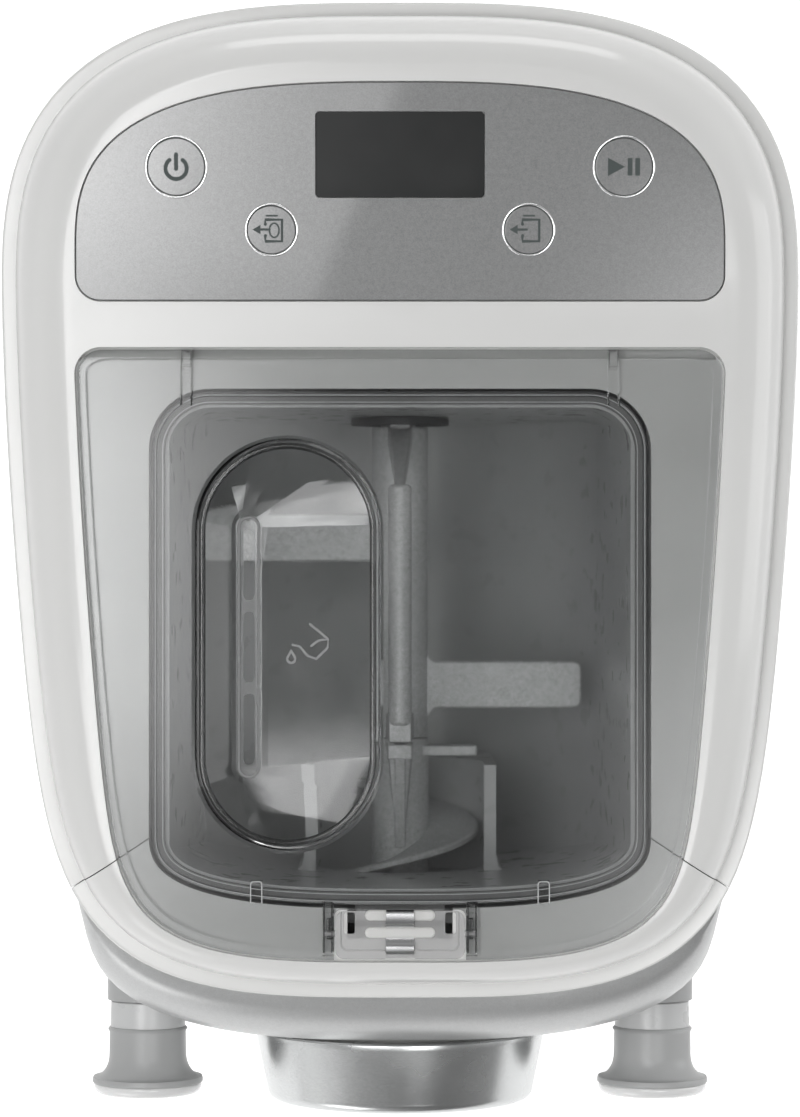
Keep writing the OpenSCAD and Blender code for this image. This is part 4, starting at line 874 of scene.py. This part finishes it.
def stroke(points, width):
    """A flat line of even width through points, as an outline."""
    left, right = [], []
    for i, p in enumerate(points):
        way = (Vector(points[min(i + 1, len(points) - 1)]) - Vector(points[max(i - 1, 0)])).normalized()
        side = Vector((-way.y, way.x)) * width / 2
        left.append(tuple(Vector(p) + side))
        right.append(tuple(Vector(p) - side))
    return left + right[::-1]


def round_line(points, width, height=ICON_H):
    """A raised stroke with round ends."""
    ends = [prism(arc(at.x, at.y, width / 2, 0, 345, 23), 0, height)
            for at in (Vector(points[0]), Vector(points[-1]))]
    return joined(prism(stroke(points, width), 0, height), *ends)


def power_icon():
    return joined(round_line(arc(0, -0.4, 2.8, 128, 412, 40), 1.05), round_line([(0, 3.3), (0, -0.5)], 1.05))


def play_icon():
    bars = [prism(rectangle(x, x + 1.25, -2.3, 2.3, 0.2), 0, ICON_H) for x in (1.0, 3.0)]
    return joined(prism([(-4.2, -2.4), (0.3, 0), (-4.2, 2.4)], 0, ICON_H), *bars)


def out_icon(ringed):
    """A box with a lid line, and an arrow that leaves it; ringed adds a plain ring inside."""
    box = [(-1.6, 1.5), (-1.6, 2.7), (2.8, 2.7), (2.8, -3.0), (-1.6, -3.0), (-1.6, -1.5)]
    parts = [round_line([(-1.3, 3.75), (1.5, 3.75)], 0.45), round_line([(-3.2, 0.1), (-0.5, 0.1)], 0.6),
             prism([(-5.0, 0.1), (-2.9, -1.15), (-2.9, 1.35)], 0, ICON_H)]
    if ringed:
        outer, inner = [superarc(0.75, -0.1, rx, ry, 2, 0, 345, 23) for rx, ry in ((1.5, 2.1), (1.05, 1.65))]
        parts.append(band(outer, inner, 0, ICON_H))
    return joined(round_line(box, 0.8), *parts)


def water_icon():
    """A plain jug that leans over, and a drop, as raised lines."""
    height, line = 0.4, 0.6
    jug = [(-4.3, -0.4), (-2.3, -0.8), (-0.3, -3.2), (2.2, -4.1), (5.4, -1.0), (5.5, 1.2), (2.7, 0.8),
           (0.9, -0.6)]
    drop = [(0.0, 2.4)] + arc(0, 0, 1.3, 25, -205, 24)
    outer, inner = [(x * 1.1, y * 1.1) for x, y in drop], [(x * 0.6, y * 0.6) for x, y in drop]
    return joined(shifted(band(outer, inner, 0, height), -4.7, -4.1), round_line(jug, line, height),
                  round_line([(0.5, 5.2), (5.5, 1.2)], line, height))


def dress_console():
    panel = rounded_prism(panel_plan, -PANEL_T, 0, 0.35)
    for bore in key_bores(5):
        cut(panel, bore)
    cut(panel, prism(window_plan(-0.1, 1.2), -5, 5))
    piece(on_console(panel), "console_plate", "root", "panel", "control_panel")
    glass = rounded_prism(lambda d: window_plan(d, 1.1), -PANEL_T, -0.9, 0.1)
    piece(on_console(glass), "display_glass", "root", "display", "display_window")

    rings = None
    cap_foot, stem_r, stem_end, edge = -3, 2.4, -8.05, 0.3
    big, small = KEY_SIZES
    for key, side, ((x, y), r), icon in (("power", -1, big, power_icon()), ("play", 1, big, play_icon()),
                                         ("auto", -1, small, out_icon(True)),
                                         ("extrude", 1, small, out_icon(False))):
        at = (side * x, y, 0)
        ring = lathe(ring_profile(r + 0.1, RING_W, -PANEL_T, 0.2, 0.28), "Z", at)
        rings = ring if rings is None else joined(rings, ring)
        face = [(0, 0)] + [(r - edge + edge * s, -edge + edge * c) for s, c in quarter(4)]
        stem = [(r, cap_foot), (stem_r, cap_foot), (stem_r, stem_end), (0, stem_end)]
        cap = lathe(face + stem, "Z", at, 72)
        piece(on_console(cap), key + "_cap", key + "_key", "panel", key + "_button")
        piece(on_console(shifted(icon, side * x, y)), key + "_icon", key + "_key", "panel", look="icon")
    piece(on_console(rings), "bright_rings", "root", "bright_ring", "button_rings")


# ---- Kneading chamber ----

def trough(d):
    """The chamber's cross-section in X and Z, grown by d, all along the chamber."""
    slope_half = RIM_HALF - RIM_W + d
    section = arc(0, AXIS_Z, BOWL_R + d, 180, 360, 72) + [(s * slope_half, BOWL_RIM_Z + 5) for s in (1, -1)]
    return slab(section, CHAMBER_FRONT - 10, CHAMBER_BACK + 10)


def dress_chamber():
    low, wide, seal_r, margin = AXIS_Z - BOWL_R - 20, TUBE_R + 0.4, 12, 10
    outer = wide + FIN_T
    bowl = common(trough(BOWL_WALL), prism(chamber_plan(2), low, BOWL_RIM_Z))
    joined(bowl, rounded_prism(chamber_plan, BOWL_RIM_Z - 2.2, BOWL_RIM_Z, 0.7))
    cut(bowl, common(trough(0), prism(chamber_plan(RIM_W), low, low + FAR)),
        axis_rod(wide, CHAMBER_FRONT - margin, CHAMBER_FRONT + margin),
        axis_rod(seal_r, CHAMBER_BACK - margin, CHAMBER_BACK + margin))
    guide = common(bar(outer, CHAMBER_FRONT + 4.3, FIN_BACK, low, FIN_TOP), trough(1),
                   prism(chamber_plan(3.4), low, low + FAR))
    cut(guide, axis_rod(wide, CHAMBER_FRONT, FIN_BACK + 5),
        bar(wide, CHAMBER_FRONT, FIN_BACK + 5, AXIS_Z, FIN_TOP + 5))
    joined(bowl, guide)
    foot = ((0, 4), (3.6, 4), (1.2, 6), (0.5, 9), (0, 12))  # a fin's flare: width, distance from the front
    for s in SIDES:
        flare = [(s * (outer - 0.5 + w), CHAMBER_FRONT + y) for w, y in foot]
        joined(bowl, prism(flare, AXIS_Z - 20, FIN_TOP))
    piece(bowl, "kneading_chamber", "root", "chamber", "mixing_chamber", weighted=False)


def arm(foot, tip):
    """An arm of the rod that leans up from its foot to its tip, each (y, width, length, radius)."""
    rings = [level(rectangle(-w / 2, w / 2, y - length / 2, y + length / 2), AXIS_Z + r)
             for y, w, length, r in ((*foot[:3], foot[3] - 1), foot, tip)]
    return bevelled(loft(rings), 0.5)


def paddle(share, side):
    """A flat blade on one side of the rod, at a share of the rod's length."""
    w, tip, y = PADDLE_W / 2, 2.5, ROD_FRONT + share * (SHAFT_BACK - ROD_FRONT)
    outline = [(SHAFT_R - 3, -w - 3), (SHAFT_R, -w - 3), (SHAFT_R + 2, -w)]
    outline += arc(PADDLE_REACH - tip, -w + tip, tip, -90, 0, 6)
    outline += arc(PADDLE_REACH - tip, w - tip, tip, 0, 90, 6)
    outline += [(SHAFT_R + 2, w), (SHAFT_R, w + 1.5), (SHAFT_R - 3, w + 1.5)]
    blade = bevelled(prism([(px, py + y) for px, py in outline], AXIS_Z - 2, AXIS_Z + 2), 0.7)
    if side < 0:
        tidy(moved(blade, MIRROR_X))
    return blade


def dress_stirrer():
    bar_back, bar_front, bar_z = CHAMBER_BACK - 24.5, SEAM_Y + 28, AXIS_Z + 50
    foot_r = SHAFT_R - 1.4
    tip_r, tip_l, bar_r = 5, 22, 3.2
    shaft = axis_rod(SHAFT_R, ROD_FRONT, SHAFT_BACK, edge=0.6)
    joined(shaft, axis_rod(tip_r, ROD_FRONT - tip_l, ROD_FRONT + 1),
           rod(bar_r, bar_front, bar_back, 0, bar_z, 64, 1.2),
           arm((SHAFT_BACK - 2.5, 7, 5, foot_r), (bar_back - 1.5, 2.2, 3.2, 51)),
           arm((ROD_FRONT + 3.6, 8, 7, foot_r), (bar_front - 1.4, 6.2, 6.4, 51.6)),
           paddle(0.17, 1), paddle(0.642, -1))
    piece(shaft, "stirrer", "mixer", "stirrer", "stirring_rod")


def screw_flight(y0, y1, start, root_r, thick):
    """The screw's helical flight, from y0 forwards to y1."""
    turns = (y0 - y1) / SCREW_LEAD
    count = int(turns * 60)
    half = [(root_r - 1, thick / 2), (root_r + 1, thick / 2), (SCREW_R - 0.7, thick / 2 * 0.75),
            (SCREW_R, thick / 5)]
    rings = []
    for k in range(count + 1):
        a = math.radians(start + 360 * turns * k / count)
        y = y0 - (y0 - y1) * k / count
        section = [(r, y + h) for r, h in half] + [(r, y - h) for r, h in half[::-1]]
        rings.append([(r * math.cos(a), h, AXIS_Z + r * math.sin(a)) for r, h in section])
    return loft(rings)


def dress_screw():
    back, front, hub_r = ROD_FRONT - 0.2, NUT_FRONT + DISC_T + 8.2, SHAFT_R + 0.2
    hub = axis_rod(hub_r, front, back, edge=0.5)
    flight_t, start = 3, 90 - 360 * 20 / SCREW_LEAD  # the flight's turn at its rear end, in degrees
    flight = screw_flight(back - 14, front + 1, start, hub_r, flight_t)
    wing = bevelled(block(0, SCREW_R - 0.5, back - 5, back - 2, AXIS_Z - 5, AXIS_Z + 5), 0.5)
    rib = [(back - 31, hub_r - 1.5), (back - 31, hub_r + 1.6), (back - 5.4, hub_r + 12.5),
           (back - 1, hub_r + 12.5), (back - 1, hub_r - 1.5)]
    rib = x_prism(rib, 1.5, AXIS_Z)
    widths = ((hub_r - 1.5, 3.9), (hub_r + 1.2, 3.9), (hub_r + 2.2, 3.3))
    cheeks = stacked(lambda w: [(-w, back - 1), (-1.2, back - 29), (1.2, back - 29), (w, back - 1)],
                     [(AXIS_Z + z, w) for z, w in widths])
    plate = bar(3.5, back - 5.2, back - 1, AXIS_Z + hub_r + 11, AXIS_Z + hub_r + 12.8)
    joined(hub, flight, wing, bevelled(rib, 0.4), bevelled(cheeks, 0.3), bevelled(plate, 0.5),
           axis_rod(3, front - DISC_T - 0.5, front + 1, 48, 0.4))
    cut(hub, axis_rod(5.04, ROD_FRONT - 22.5, back + 1))  # the socket for the stirring rod's tip
    piece(hub, "screw", "mixer", "stirrer", "extrusion_screw")


# ---- Nut and knobs ----

def dress_nut():
    edge, taper, mouth_edge, lip = 3, 2.9, 1.2, NUT_BACK + 2.5
    disc_face, mouth_r = DISC_Y - 0.2, NUT_MOUTH_R + mouth_edge
    shell = [(mouth_r, NUT_FRONT), (NUT_R - taper - edge, NUT_FRONT)]
    shell += [(NUT_R - taper - edge + edge * s, NUT_FRONT + edge - edge * c) for s, c in quarter(10, 1)]
    shell += [(NUT_R + 0.2, lip - 2.0), (NUT_R + 0.4, lip - 1.5), (NUT_R + 0.4, lip - 0.5), (NUT_R, lip)]
    shell += [(TUBE_FLANGE_R + 0.6, lip), (TUBE_FLANGE_R + 0.6, NUT_BACK), (COLLAR_R + 0.05, NUT_BACK),
              (COLLAR_R + 0.05, disc_face), (NUT_MOUTH_R, disc_face), (NUT_MOUTH_R, NUT_FRONT + mouth_edge)]
    shell += [(mouth_r - mouth_edge * c, NUT_FRONT + mouth_edge - mouth_edge * s)
              for s, c in quarter(5, 1)[:-1]]
    nut = lathe(shell, "Y", (0, 0, AXIS_Z), 160)
    piece(nut, "outlet_nut", "nut", "brushed_silver", "extrusion_nut", look="nut_metal")


def fluted_ring(y, r, flute, segments=144):
    """A knob's ring at y, hollowed by flute on its two sides."""
    ring = []
    for s in range(segments):
        a = 2 * math.pi * s / segments
        q = r - flute * max(0, math.cos(2 * a)) ** 3
        ring.append((q * math.cos(a), y, q * math.sin(a)))
    return ring


def dress_knob(side, name):
    x, body = side * KNOB_X, f"{name}_knob"
    turn_back, reach, bell, depth = KNOB_BACK - 7.4, 4.1, KNOB_FRONT + 8.3, 6.4
    collar = [(0, KNOB_BACK), (10.2, KNOB_BACK), (10.5, KNOB_BACK - 0.3), (10.75, turn_back), (0, turn_back)]
    piece(cut(lathe(collar, "Y", (x, 0, AXIS_Z), 128), rod(STUD_R, turn_back - 1, KNOB_BACK + 1, x, AXIS_Z)),
          f"collar_{name}", body, "knob_grey", look="knob_collar")

    stations = [(turn_back, 10.6, 0), (turn_back - 0.1, 10.9, 0), (turn_back - 0.7, KNOB_GRIP_R, 0),
                (turn_back - 1.6, KNOB_GRIP_R, 0.5), (bell, KNOB_GRIP_R + 0.1, 0.5)]
    stations += [(bell - depth * s, KNOB_GRIP_R + 0.1 + reach * (1 - c), 0.5 * c) for s, c in quarter(12, 1)]
    stations += [(KNOB_FRONT + 1.7, KNOB_RIM_R - 0.15, 0), (KNOB_FRONT + 1.3, KNOB_RIM_R, 0),
                 (KNOB_FRONT + 0.4, KNOB_RIM_R, 0), (KNOB_FRONT, KNOB_RIM_R - 0.4, 0)]
    knob = shifted(loft([fluted_ring(*station) for station in stations[::-1]]), x, 0, AXIS_Z)
    cut(knob, rod(STUD_R, KNOB_FRONT + 6, turn_back + 1, x, AXIS_Z))
    piece(knob, f"grip_{name}", body, "knob_grey", f"knob_{name}", angle=40)

    edge, flat_r = 2.3, KNOB_RIM_R - 2.6
    dome = [(0, KNOB_FRONT), (KNOB_RIM_R - 0.5, KNOB_FRONT), (KNOB_RIM_R - 0.3, KNOB_FRONT - 0.3)]
    dome += [(flat_r + edge * c, KNOB_FRONT - 0.6 - edge * s) for s, c in quarter(8)]
    dome += [(flat_r * (1 - k / 6), KNOB_FRONT - 2.9 + 0.35 * math.sin(math.pi / 2 * k / 6))
             for k in range(1, 7)]
    piece(lathe(dome, "Y", (x, 0, AXIS_Z)), f"end_cap_{name}", body, "knob_cap", f"knob_cap_{name}",
          angle=50)


# ---- Lid, funnel and latch ----

V_GROOVE = ((0, 0.5), (0, 0.02), (0.3, -0.32), (0.6, 0.02), (0.6, 0.5))
SKIRT = 4.4  # how far the lid's skirt and tabs hang below the plate
FUNNEL_WALL, FUNNEL_TURN, FUNNEL_LOW = 1.8, DECK_Z - 7, DECK_Z - FUNNEL_D


def funnel_solid(d, low):
    """The funnel from its turn down to its narrow foot, grown by d."""
    foot = stadium(SLOT_X, SLOT_Y, SLOT_W + 4 + 2 * d, SLOTS_L + 8 + 2 * d)
    return loft([level(foot, low), level(mouth_at(d), FUNNEL_TURN)])


def lid_plate():
    """The lid's plate with its rounded top edge, its skirt and the funnel."""
    edge = 0.8
    levels = [(LID_UNDER, LID_GAP + 0.3), (LID_UNDER + 0.3, LID_GAP), (DECK_Z - edge, LID_GAP)]
    levels += [(DECK_Z - edge + edge * s, LID_GAP + edge - edge * c) for s, c in quarter(5, 1)]
    lid = stacked(lid_plan, levels)
    common(lid, joined(bar(BODY_W, -BODY_W, HINGE_Y, LID_UNDER - 1, DECK_Z + 1),
                       hinge_rod(LID_T - 0.1, -BODY_W, BODY_W)))
    joined(lid, band(chamber_plan(1.1), chamber_plan(1.8), DECK_Z - LID_T - SKIRT, LID_UNDER + 0.2),
           prism(mouth_at(FUNNEL_WALL), FUNNEL_TURN, LID_UNDER + 0.2),
           funnel_solid(FUNNEL_WALL, FUNNEL_LOW - FUNNEL_WALL))
    flare = [(FUNNEL_TURN, 0), (DECK_Z - 2.2, 0), (DECK_Z - 1.6, 0.9), (DECK_Z - 0.3, 1.7),
             (DECK_Z + 0.1, 2.0)]
    cut(lid, stacked(mouth_at, flare), funnel_solid(0, FUNNEL_LOW))
    slots = [stadium(SLOT_X, SLOT_Y + i * (SLOT_L + SLOT_GAP), SLOT_W, SLOT_L) for i in (-1, 0, 1)]
    return cut(lid, *[prism(slot, FUNNEL_LOW - 5, FUNNEL_LOW + 5) for slot in slots])


def dress_lid():
    lid = lid_plate()
    # a fine line along the edge; on each side a tab over the chamber's rim, the channel of the hinge and the
    # latch's channel with its stop and pin
    cut(lid, ring_loft(lid_plan, [(LID_GAP + 2.2 + d, h) for d, h in V_GROOVE]))
    for s in SIDES:
        ear = (s * EAR_X - CHANNEL_HALF, s * EAR_X + CHANNEL_HALF)
        channel = on_side(s, LEVER_HALF + 0.2, LEVER_HALF + 3.5)
        ends = on_side(s, LEVER_HALF + 0.3, LEVER_HALF + 3.2)
        joined(lid, side_block(s, 36.6, 39.8, CHAMBER_FRONT + 1.2, CHAMBER_FRONT + 7, LID_UNDER - SKIRT,
                               LID_UNDER + 0.1))
        for x in ear:
            cut(lid, loft([[(x - 0.3 + d, y, DECK_Z + h) for d, h in V_GROOVE]
                           for y in (CHANNEL_FRONT, HINGE_Y + 1)]))
        cut(lid, hinge_rod(EAR_R + 0.3, *ear),
            block(*ear, CHANNEL_FRONT, HINGE_Y, DECK_Z - 10, LID_UNDER + 2.2),
            stacked(lambda d: rectangle(channel[0] + d, channel[1] - d, LID_FRONT + 1.2 + d,
                                        LATCH_BACK + 2.2 - d), ((DECK_Z - 2, 0.5), (DECK_Z + 0.5, 0))))
        stop = block(*ends, LATCH_BACK - 1.8, LATCH_BACK - 1.0, DECK_Z - 2.2, DECK_Z - 0.6)
        joined(lid, bevelled(stop, 0.2),
               shifted(hinge_rod(0.8, ends[0] + 0.4, ends[1] - 0.4), 0, LATCH_BACK + 1.4 - HINGE_Y, 1.4))
    notch = rectangle(-LEVER_HALF - GAP, LEVER_HALF + GAP, LID_FRONT - 8, LATCH_BACK, 2.0)
    cut(lid, prism(notch, DECK_Z - 10, DECK_Z + 1))
    piece(lid, "clear_cover", "lid", "clear_lid", "lid", angle=30)
    dress_funnel()
    dress_lid_trim()


def dress_funnel():
    """The mark and the slots' frame on the funnel's floor, the frame coloured light as a painted highlight, and a
    collar round its mouth tinted dark as painted shade.
    """
    edge_x, mark_x = SLOT_X + SLOT_W / 2 + 2, -24.5
    slope = math.atan2(FUNNEL_TURN - FUNNEL_LOW, FUNNEL_X + FUNNEL_W / 2 - edge_x)
    mark_z = FUNNEL_LOW + (mark_x - edge_x) * math.tan(slope) - 0.1
    mark = moved(water_icon(), Matrix.Rotation(-slope, 4, "Y"))
    piece(shifted(mark, mark_x, FUNNEL_Y, mark_z), "water_mark", "lid", "clear_lid", look="clear_mark")
    # a raised frame round the slots, coloured light grey as a painted highlight on its clear edge
    slot_frame = ring_loft(lambda d: stadium(SLOT_X, SLOT_Y, SLOT_W + 3.2 - 2 * d, SLOTS_L + 7.4 - 2 * d),
                           ((0, -0.1), (0.15, 0.35), (0.4, 0.5), (0.7, 0.35), (0.85, -0.1)), FUNNEL_LOW)
    piece(slot_frame, "slot_frame", "lid", "clear_lid", look="painted_highlight_line")
    # a ring tinted dark as painted shade, where the sloped mouth of the clear funnel looks dark
    collar = ring_loft(mouth_at, ((-1.7, -0.9), (-1.55, -0.35), (-1.1, -0.08), (-0.5, -0.08), (-0.05, -0.35),
                                  (0.05, -0.9)))
    piece(collar, "funnel_collar", "lid", "clear_lid", look="painted_shade_tint")


def dress_lid_trim():
    """Beads under the plate coloured light as painted highlights of the clear edges, dark bars as painted shade
    along the latch's channel, the hinge pins and the seal.
    """
    # thin ridges on the rim and round the tabs, coloured light as painted highlights where the clear edges would
    # catch the light
    beads = [ring_loft(chamber_plan, ((d, -0.75), (d + 0.08, -0.45), (d + 0.27, -0.45), (d + 0.35, -0.75)),
                       LID_UNDER - 3.9) for d in (1.1, 2.9)]
    beads += [ring_loft(lambda d: rectangle(s * 38.2 - 1.7 + d, s * 38.2 + 1.7 - d, CHAMBER_FRONT + 0.4 + d,
                                            CHAMBER_FRONT + 7.1 - d, 1.0 - d),
                        ((0, -0.4), (0.1, -0.1), (0.3, -0.1), (0.4, -0.4)), LID_UNDER) for s in SIDES]
    piece(joined(*beads), "rim_highlight_beads", "lid", "clear_lid", look="painted_highlight_edge")

    # thin dark bars along the channel's walls, and a dark block beside each, as painted shade of the clear walls
    # seen edge-on
    low, high, thin = DECK_Z - 2.1, DECK_Z - 0.25, 0.22
    rails = []
    for s in SIDES:
        for x in (s * (LEVER_HALF + 0.85), s * (LEVER_HALF + 2.95)):
            rails.append(block(x - thin, x + thin, LID_FRONT + 2.2, LATCH_BACK + 1.6, low, high))
        rails.append(bevelled(side_block(s, LEVER_HALF + 0.9, LEVER_HALF + 2.2, LATCH_BACK - 8.0,
                                         LATCH_BACK - 2.4, low, DECK_Z - 0.7), 0.3))
    piece(joined(*rails), "latch_shade_rails", "lid", "clear_lid", look="painted_shade_tint")

    pins = [hinge_rod(0.9, s * EAR_X - CHANNEL_HALF + 0.02, s * EAR_X + CHANNEL_HALF - 0.02) for s in SIDES]
    piece(joined(*pins), "hinge_pins", "lid", "clear_lid", "lid_pins", look="steel")
    seal = rounded_prism(lambda d: chamber_plan(0.6 + d), BOWL_RIM_Z + GAP, DECK_Z - LID_T - SKIRT, 0.3)
    cut(seal, prism(chamber_plan(3.6), BOWL_RIM_Z - 1, DECK_Z))
    piece(seal, "rim_seal", "lid", "lid_seal", "lid_seal")


def dress_latch():
    low, front, back, windows = DECK_Z - 2.4, LID_FRONT + 0.5, LATCH_BACK - 0.5, (-13.4, 13.4)
    lever = rounded_prism(lambda d: rectangle(-LEVER_HALF + d, LEVER_HALF - d, front + d, back - d,
                                              2.4 - d, 8), low, DECK_Z - 0.3, 0.3)
    pins = across(rod(0.9, -LEVER_HALF - 3, LEVER_HALF + 3, segments=32))
    arm_half, arm_low, arm_front, arm_t = 12, BOWL_RIM_Z - 6, LATCH_BACK - 4.6, 1.6
    joined(lever, shifted(pins, 0, LATCH_Y, DECK_Z - LID_T / 2),
           bar(arm_half, arm_front, arm_front + arm_t, arm_low, low + 0.1),
           bar(arm_half, arm_front + arm_t - 0.1, LATCH_BACK - 0.1, arm_low, arm_low + arm_t))
    pocket = stacked(lambda d: rectangle(-LEVER_HALF + 1.3 + d, LEVER_HALF - 1.3 - d, front + 2.0 + d,
                                         back + 5, 1.8, 8), ((low + 1, 0.5), (DECK_Z, 0)))
    cut(lever, pocket, bar(3.9, front - 1, back - 0.6, low + 0.4, DECK_Z),
        *[prism(rectangle(x - 1.4, x + 1.4, LATCH_BACK - 6.6, LATCH_BACK - 0.9, 0.6), low - 1, DECK_Z)
          for x in windows],
        *[side_block(s, 12.6, 20, LATCH_BACK - 5, LATCH_BACK, low - 1, low + 0.3) for s in SIDES])
    for x in windows:
        outer = rectangle(x - 2.1, x + 2.1, LATCH_BACK - 7.6, LATCH_BACK - 0.4, 1.2)
        inner = rectangle(x - 1.5, x + 1.5, LATCH_BACK - 6.8, LATCH_BACK - 0.8, 0.6)
        joined(lever, band(outer, inner, low + 0.9, low + 1.3))
    piece(lever, "latch_lever", "latch", "latch", "lid_latch")
    grips = [rounded_prism(lambda d: stadium_across(y, 18.6 - 2 * d, 2.8 - 2 * d), low + 1.2, DECK_Z, 0.7, 6)
             for y in LATCH_GRIPS]
    piece(joined(*grips), "latch_grips", "latch", "latch", look="latch_grip")
    # the clip from its front to its back: distance from the lever's back, height
    wave = [(-0.35, 1.4), (-0.42, 2.3), (-0.75, 2.85), (-1.3, 3.05), (-2.0, 2.95), (-3.0, 2.9), (-3.6, 2.6),
            (-3.95, 1.9), (-4.2, 1.1), (-4.7, 0.85), (-7.4, 0.8), (-8.5, 1.0), (-9.3, 1.55), (-10.2, 1.9),
            (-11.0, 1.75), (-11.7, 1.1), (-11.95, 0.5)]
    clip_half, clip_t = 3.7, 0.35
    clip = x_prism(stroke([(LATCH_BACK + y, h) for y, h in wave], clip_t), clip_half, low)
    piece(clip, "spring_clip", "latch", "steel", "latch_spring", look="clip")


dress_nodes()
dress_body()
dress_console()
dress_chamber()
dress_stirrer()
dress_screw()
dress_nut()
dress_knob(-1, "left")
dress_knob(1, "right")
dress_lid()
dress_latch()

# ---- Floor, light and camera ----

FILL_LOW, FILL_HIGH = 1.0, 0.05  # the world's light on matt faces, near the horizon and overhead
CEILING = 0.3  # the world in reflections, overhead
DARK_SIDE, DARKEST = (0.62, -0.78, 0.0), 0.2  # and towards the front's right
FLOOR_HALF, FLOOR_GLOW = 4000, 0.65
CAMERA_Y, CAMERA_Z = 0.00225, 1.3  # metres
FOCAL_PX, IMAGE_H, SENSOR = 3773, 1117, 36


def set_stage():
    """A pale matt floor that shows white to the camera and in reflections, and keeps the object's shadow."""
    floor = prism(rectangle(-FLOOR_HALF, FLOOR_HALF, -FLOOR_HALF, FLOOR_HALF), -20, 0)
    floor.name = floor.data.name = "floor"
    tree, shader = nodes_of("floor")
    vector = coordinates(tree)
    put(tree, shader, Roughness=0.9, Normal=bump(tree, noise(tree, vector, 0.3, 2), 0.02),
        Base_Color=shades(tree, noise(tree, vector, 0.002, 3), (0.86, 0.86, 0.86), 0.01))
    seen = any_ray(tree, "Is Camera Ray", "Is Glossy Ray", "Is Transmission Ray")
    glow = new_node(tree, "Emission", Color=(1, 1, 1, 1), Strength=remap(tree, seen, 0.0, FLOOR_GLOW, 0, 1))
    add = new_node(tree, "AddShader")
    feed(tree, add.inputs[0], shader.outputs["BSDF"])
    feed(tree, add.inputs[1], glow.outputs["Emission"])
    feed(tree, tree.nodes["Material Output"].inputs["Surface"], add.outputs["Shader"])
    floor.data.materials.append(MATERIALS["floor"])


def set_world():
    """White for the camera, and graded for the other rays.

    Reflections see it dimmer overhead and towards the front's right; matt faces get less of it from above.
    """
    world = bpy.data.worlds.new("studio")
    bpy.context.scene.world = world
    world.use_nodes = True
    tree = world.node_tree
    way = new_node(tree, "TexCoord").outputs["Generated"]
    height = new_node(tree, "SeparateXYZ", Vector=way).outputs["Z"]
    facing = new_node(tree, "VectorMath")
    facing.operation = "DOT_PRODUCT"
    feed(tree, facing.inputs[0], way)
    feed(tree, facing.inputs[1], DARK_SIDE)
    round_about = remap(tree, facing.outputs["Value"], 1.0, DARKEST, 0.2, 0.95)
    studio = arithmetic(tree, "MULTIPLY", round_about, remap(tree, height, 1.0, CEILING, 0.2, 0.75))
    mirrored_ray = any_ray(tree, "Is Glossy Ray", "Is Transmission Ray")
    fill = arithmetic(tree, "MULTIPLY", arithmetic(tree, "SUBTRACT", 1.0, mirrored_ray),
                      remap(tree, height, FILL_LOW, FILL_HIGH, 0.15, 0.5))
    lit = arithmetic(tree, "MULTIPLY_ADD", mirrored_ray, studio, fill)
    put(tree, tree.nodes["Background"], Color=(1, 1, 1, 1),
        Strength=arithmetic(tree, "MAXIMUM", lit, any_ray(tree, "Is Camera Ray")))


def softbox(name, at, size, radiance, aim=(0.0, 0.0, 0.2), turn=0.0, fade=None, least=0.0, ends=False):
    """A rectangular lamp in metres that faces aim, turned by degrees; radiance is its face's brightness.

    fade gives the two places along its width, from 0 at its left to 1, between which it falls to least; with
    ends, it also falls off towards the two ends of its length.
    """
    light = bpy.data.lights.new(name, "AREA")
    light.shape = "RECTANGLE"
    light.size, light.size_y = size
    light.energy = radiance * math.pi * size[0] * size[1]
    if fade:
        light.use_nodes = True
        tree = light.node_tree
        place = new_node(tree, "NewGeometry").outputs["Parametric"]
        split = new_node(tree, "SeparateXYZ", Vector=place).outputs
        strength = remap(tree, split["X"], 1.0, least, 1 - fade[0], 1 - fade[1])
        strength.node.interpolation_type = "SMOOTHSTEP"
        if ends:
            off = arithmetic(tree, "ABSOLUTE", arithmetic(tree, "SUBTRACT", split["Y"], 0.5))
            strength = arithmetic(tree, "MULTIPLY", strength, remap(tree, off, 1.0, 0.0, 0.2, 0.5))
        put(tree, tree.nodes["Emission"], Strength=strength)
    lamp = bpy.data.objects.new(name, light)
    bpy.context.scene.collection.objects.link(lamp)
    facing = (Vector(at) - Vector(aim)).to_track_quat("Z", "Y").to_matrix()
    lamp.rotation_euler = (facing @ Matrix.Rotation(math.radians(turn), 3, "Z")).to_euler()
    lamp.location = at


def set_camera():
    camera = bpy.data.cameras.new("camera")
    camera.sensor_width = SENSOR
    camera.sensor_fit = "AUTO"
    camera.lens = SENSOR * FOCAL_PX / IMAGE_H
    camera.clip_start, camera.clip_end = 0.01, 50
    obj = bpy.data.objects.new("camera", camera)
    bpy.context.scene.collection.objects.link(obj)
    obj.location = (0, CAMERA_Y, CAMERA_Z)
    bpy.context.scene.camera = obj


set_stage()
set_world()
softbox("key", (-0.8, -1.3, 0.6), (0.8, 0.6), 1.8)
softbox("side", (1.3, 0.1, 0.35), (0.5, 0.9), 2.0)
softbox("back", (0.1, 1.5, 0.45), (0.9, 0.5), 3.0)
# the lamps overhead, whose mirror images shade the console, the lid and the skin as in the photo
softbox("overhead", (-0.365, 0.02, 1.81), (0.67, 0.9), 6.6, (-0.365, 0.02, 0), turn=-8, fade=(0.57, 1.0))
softbox("left", (-0.86, -0.27, 1.76), (0.3, 0.54), 6.0, (-0.45, -0.27, 0), fade=(0.9, 1.0), least=0.4,
        ends=True)
softbox("window", (-0.168, -0.016, 1.8), (0.3, 0.32), 2.1, (-0.168, -0.016, 0), turn=-21.1, fade=(0.0, 1.0),
        least=0.8, ends=True)
softbox("right", (0.42, -0.4, 1.81), (0.7, 0.75), 6.5, (0.42, -0.4, 0), fade=(0.35, 0.0), ends=True)
set_camera()
bpy.context.scene.view_settings.view_transform = "Standard"
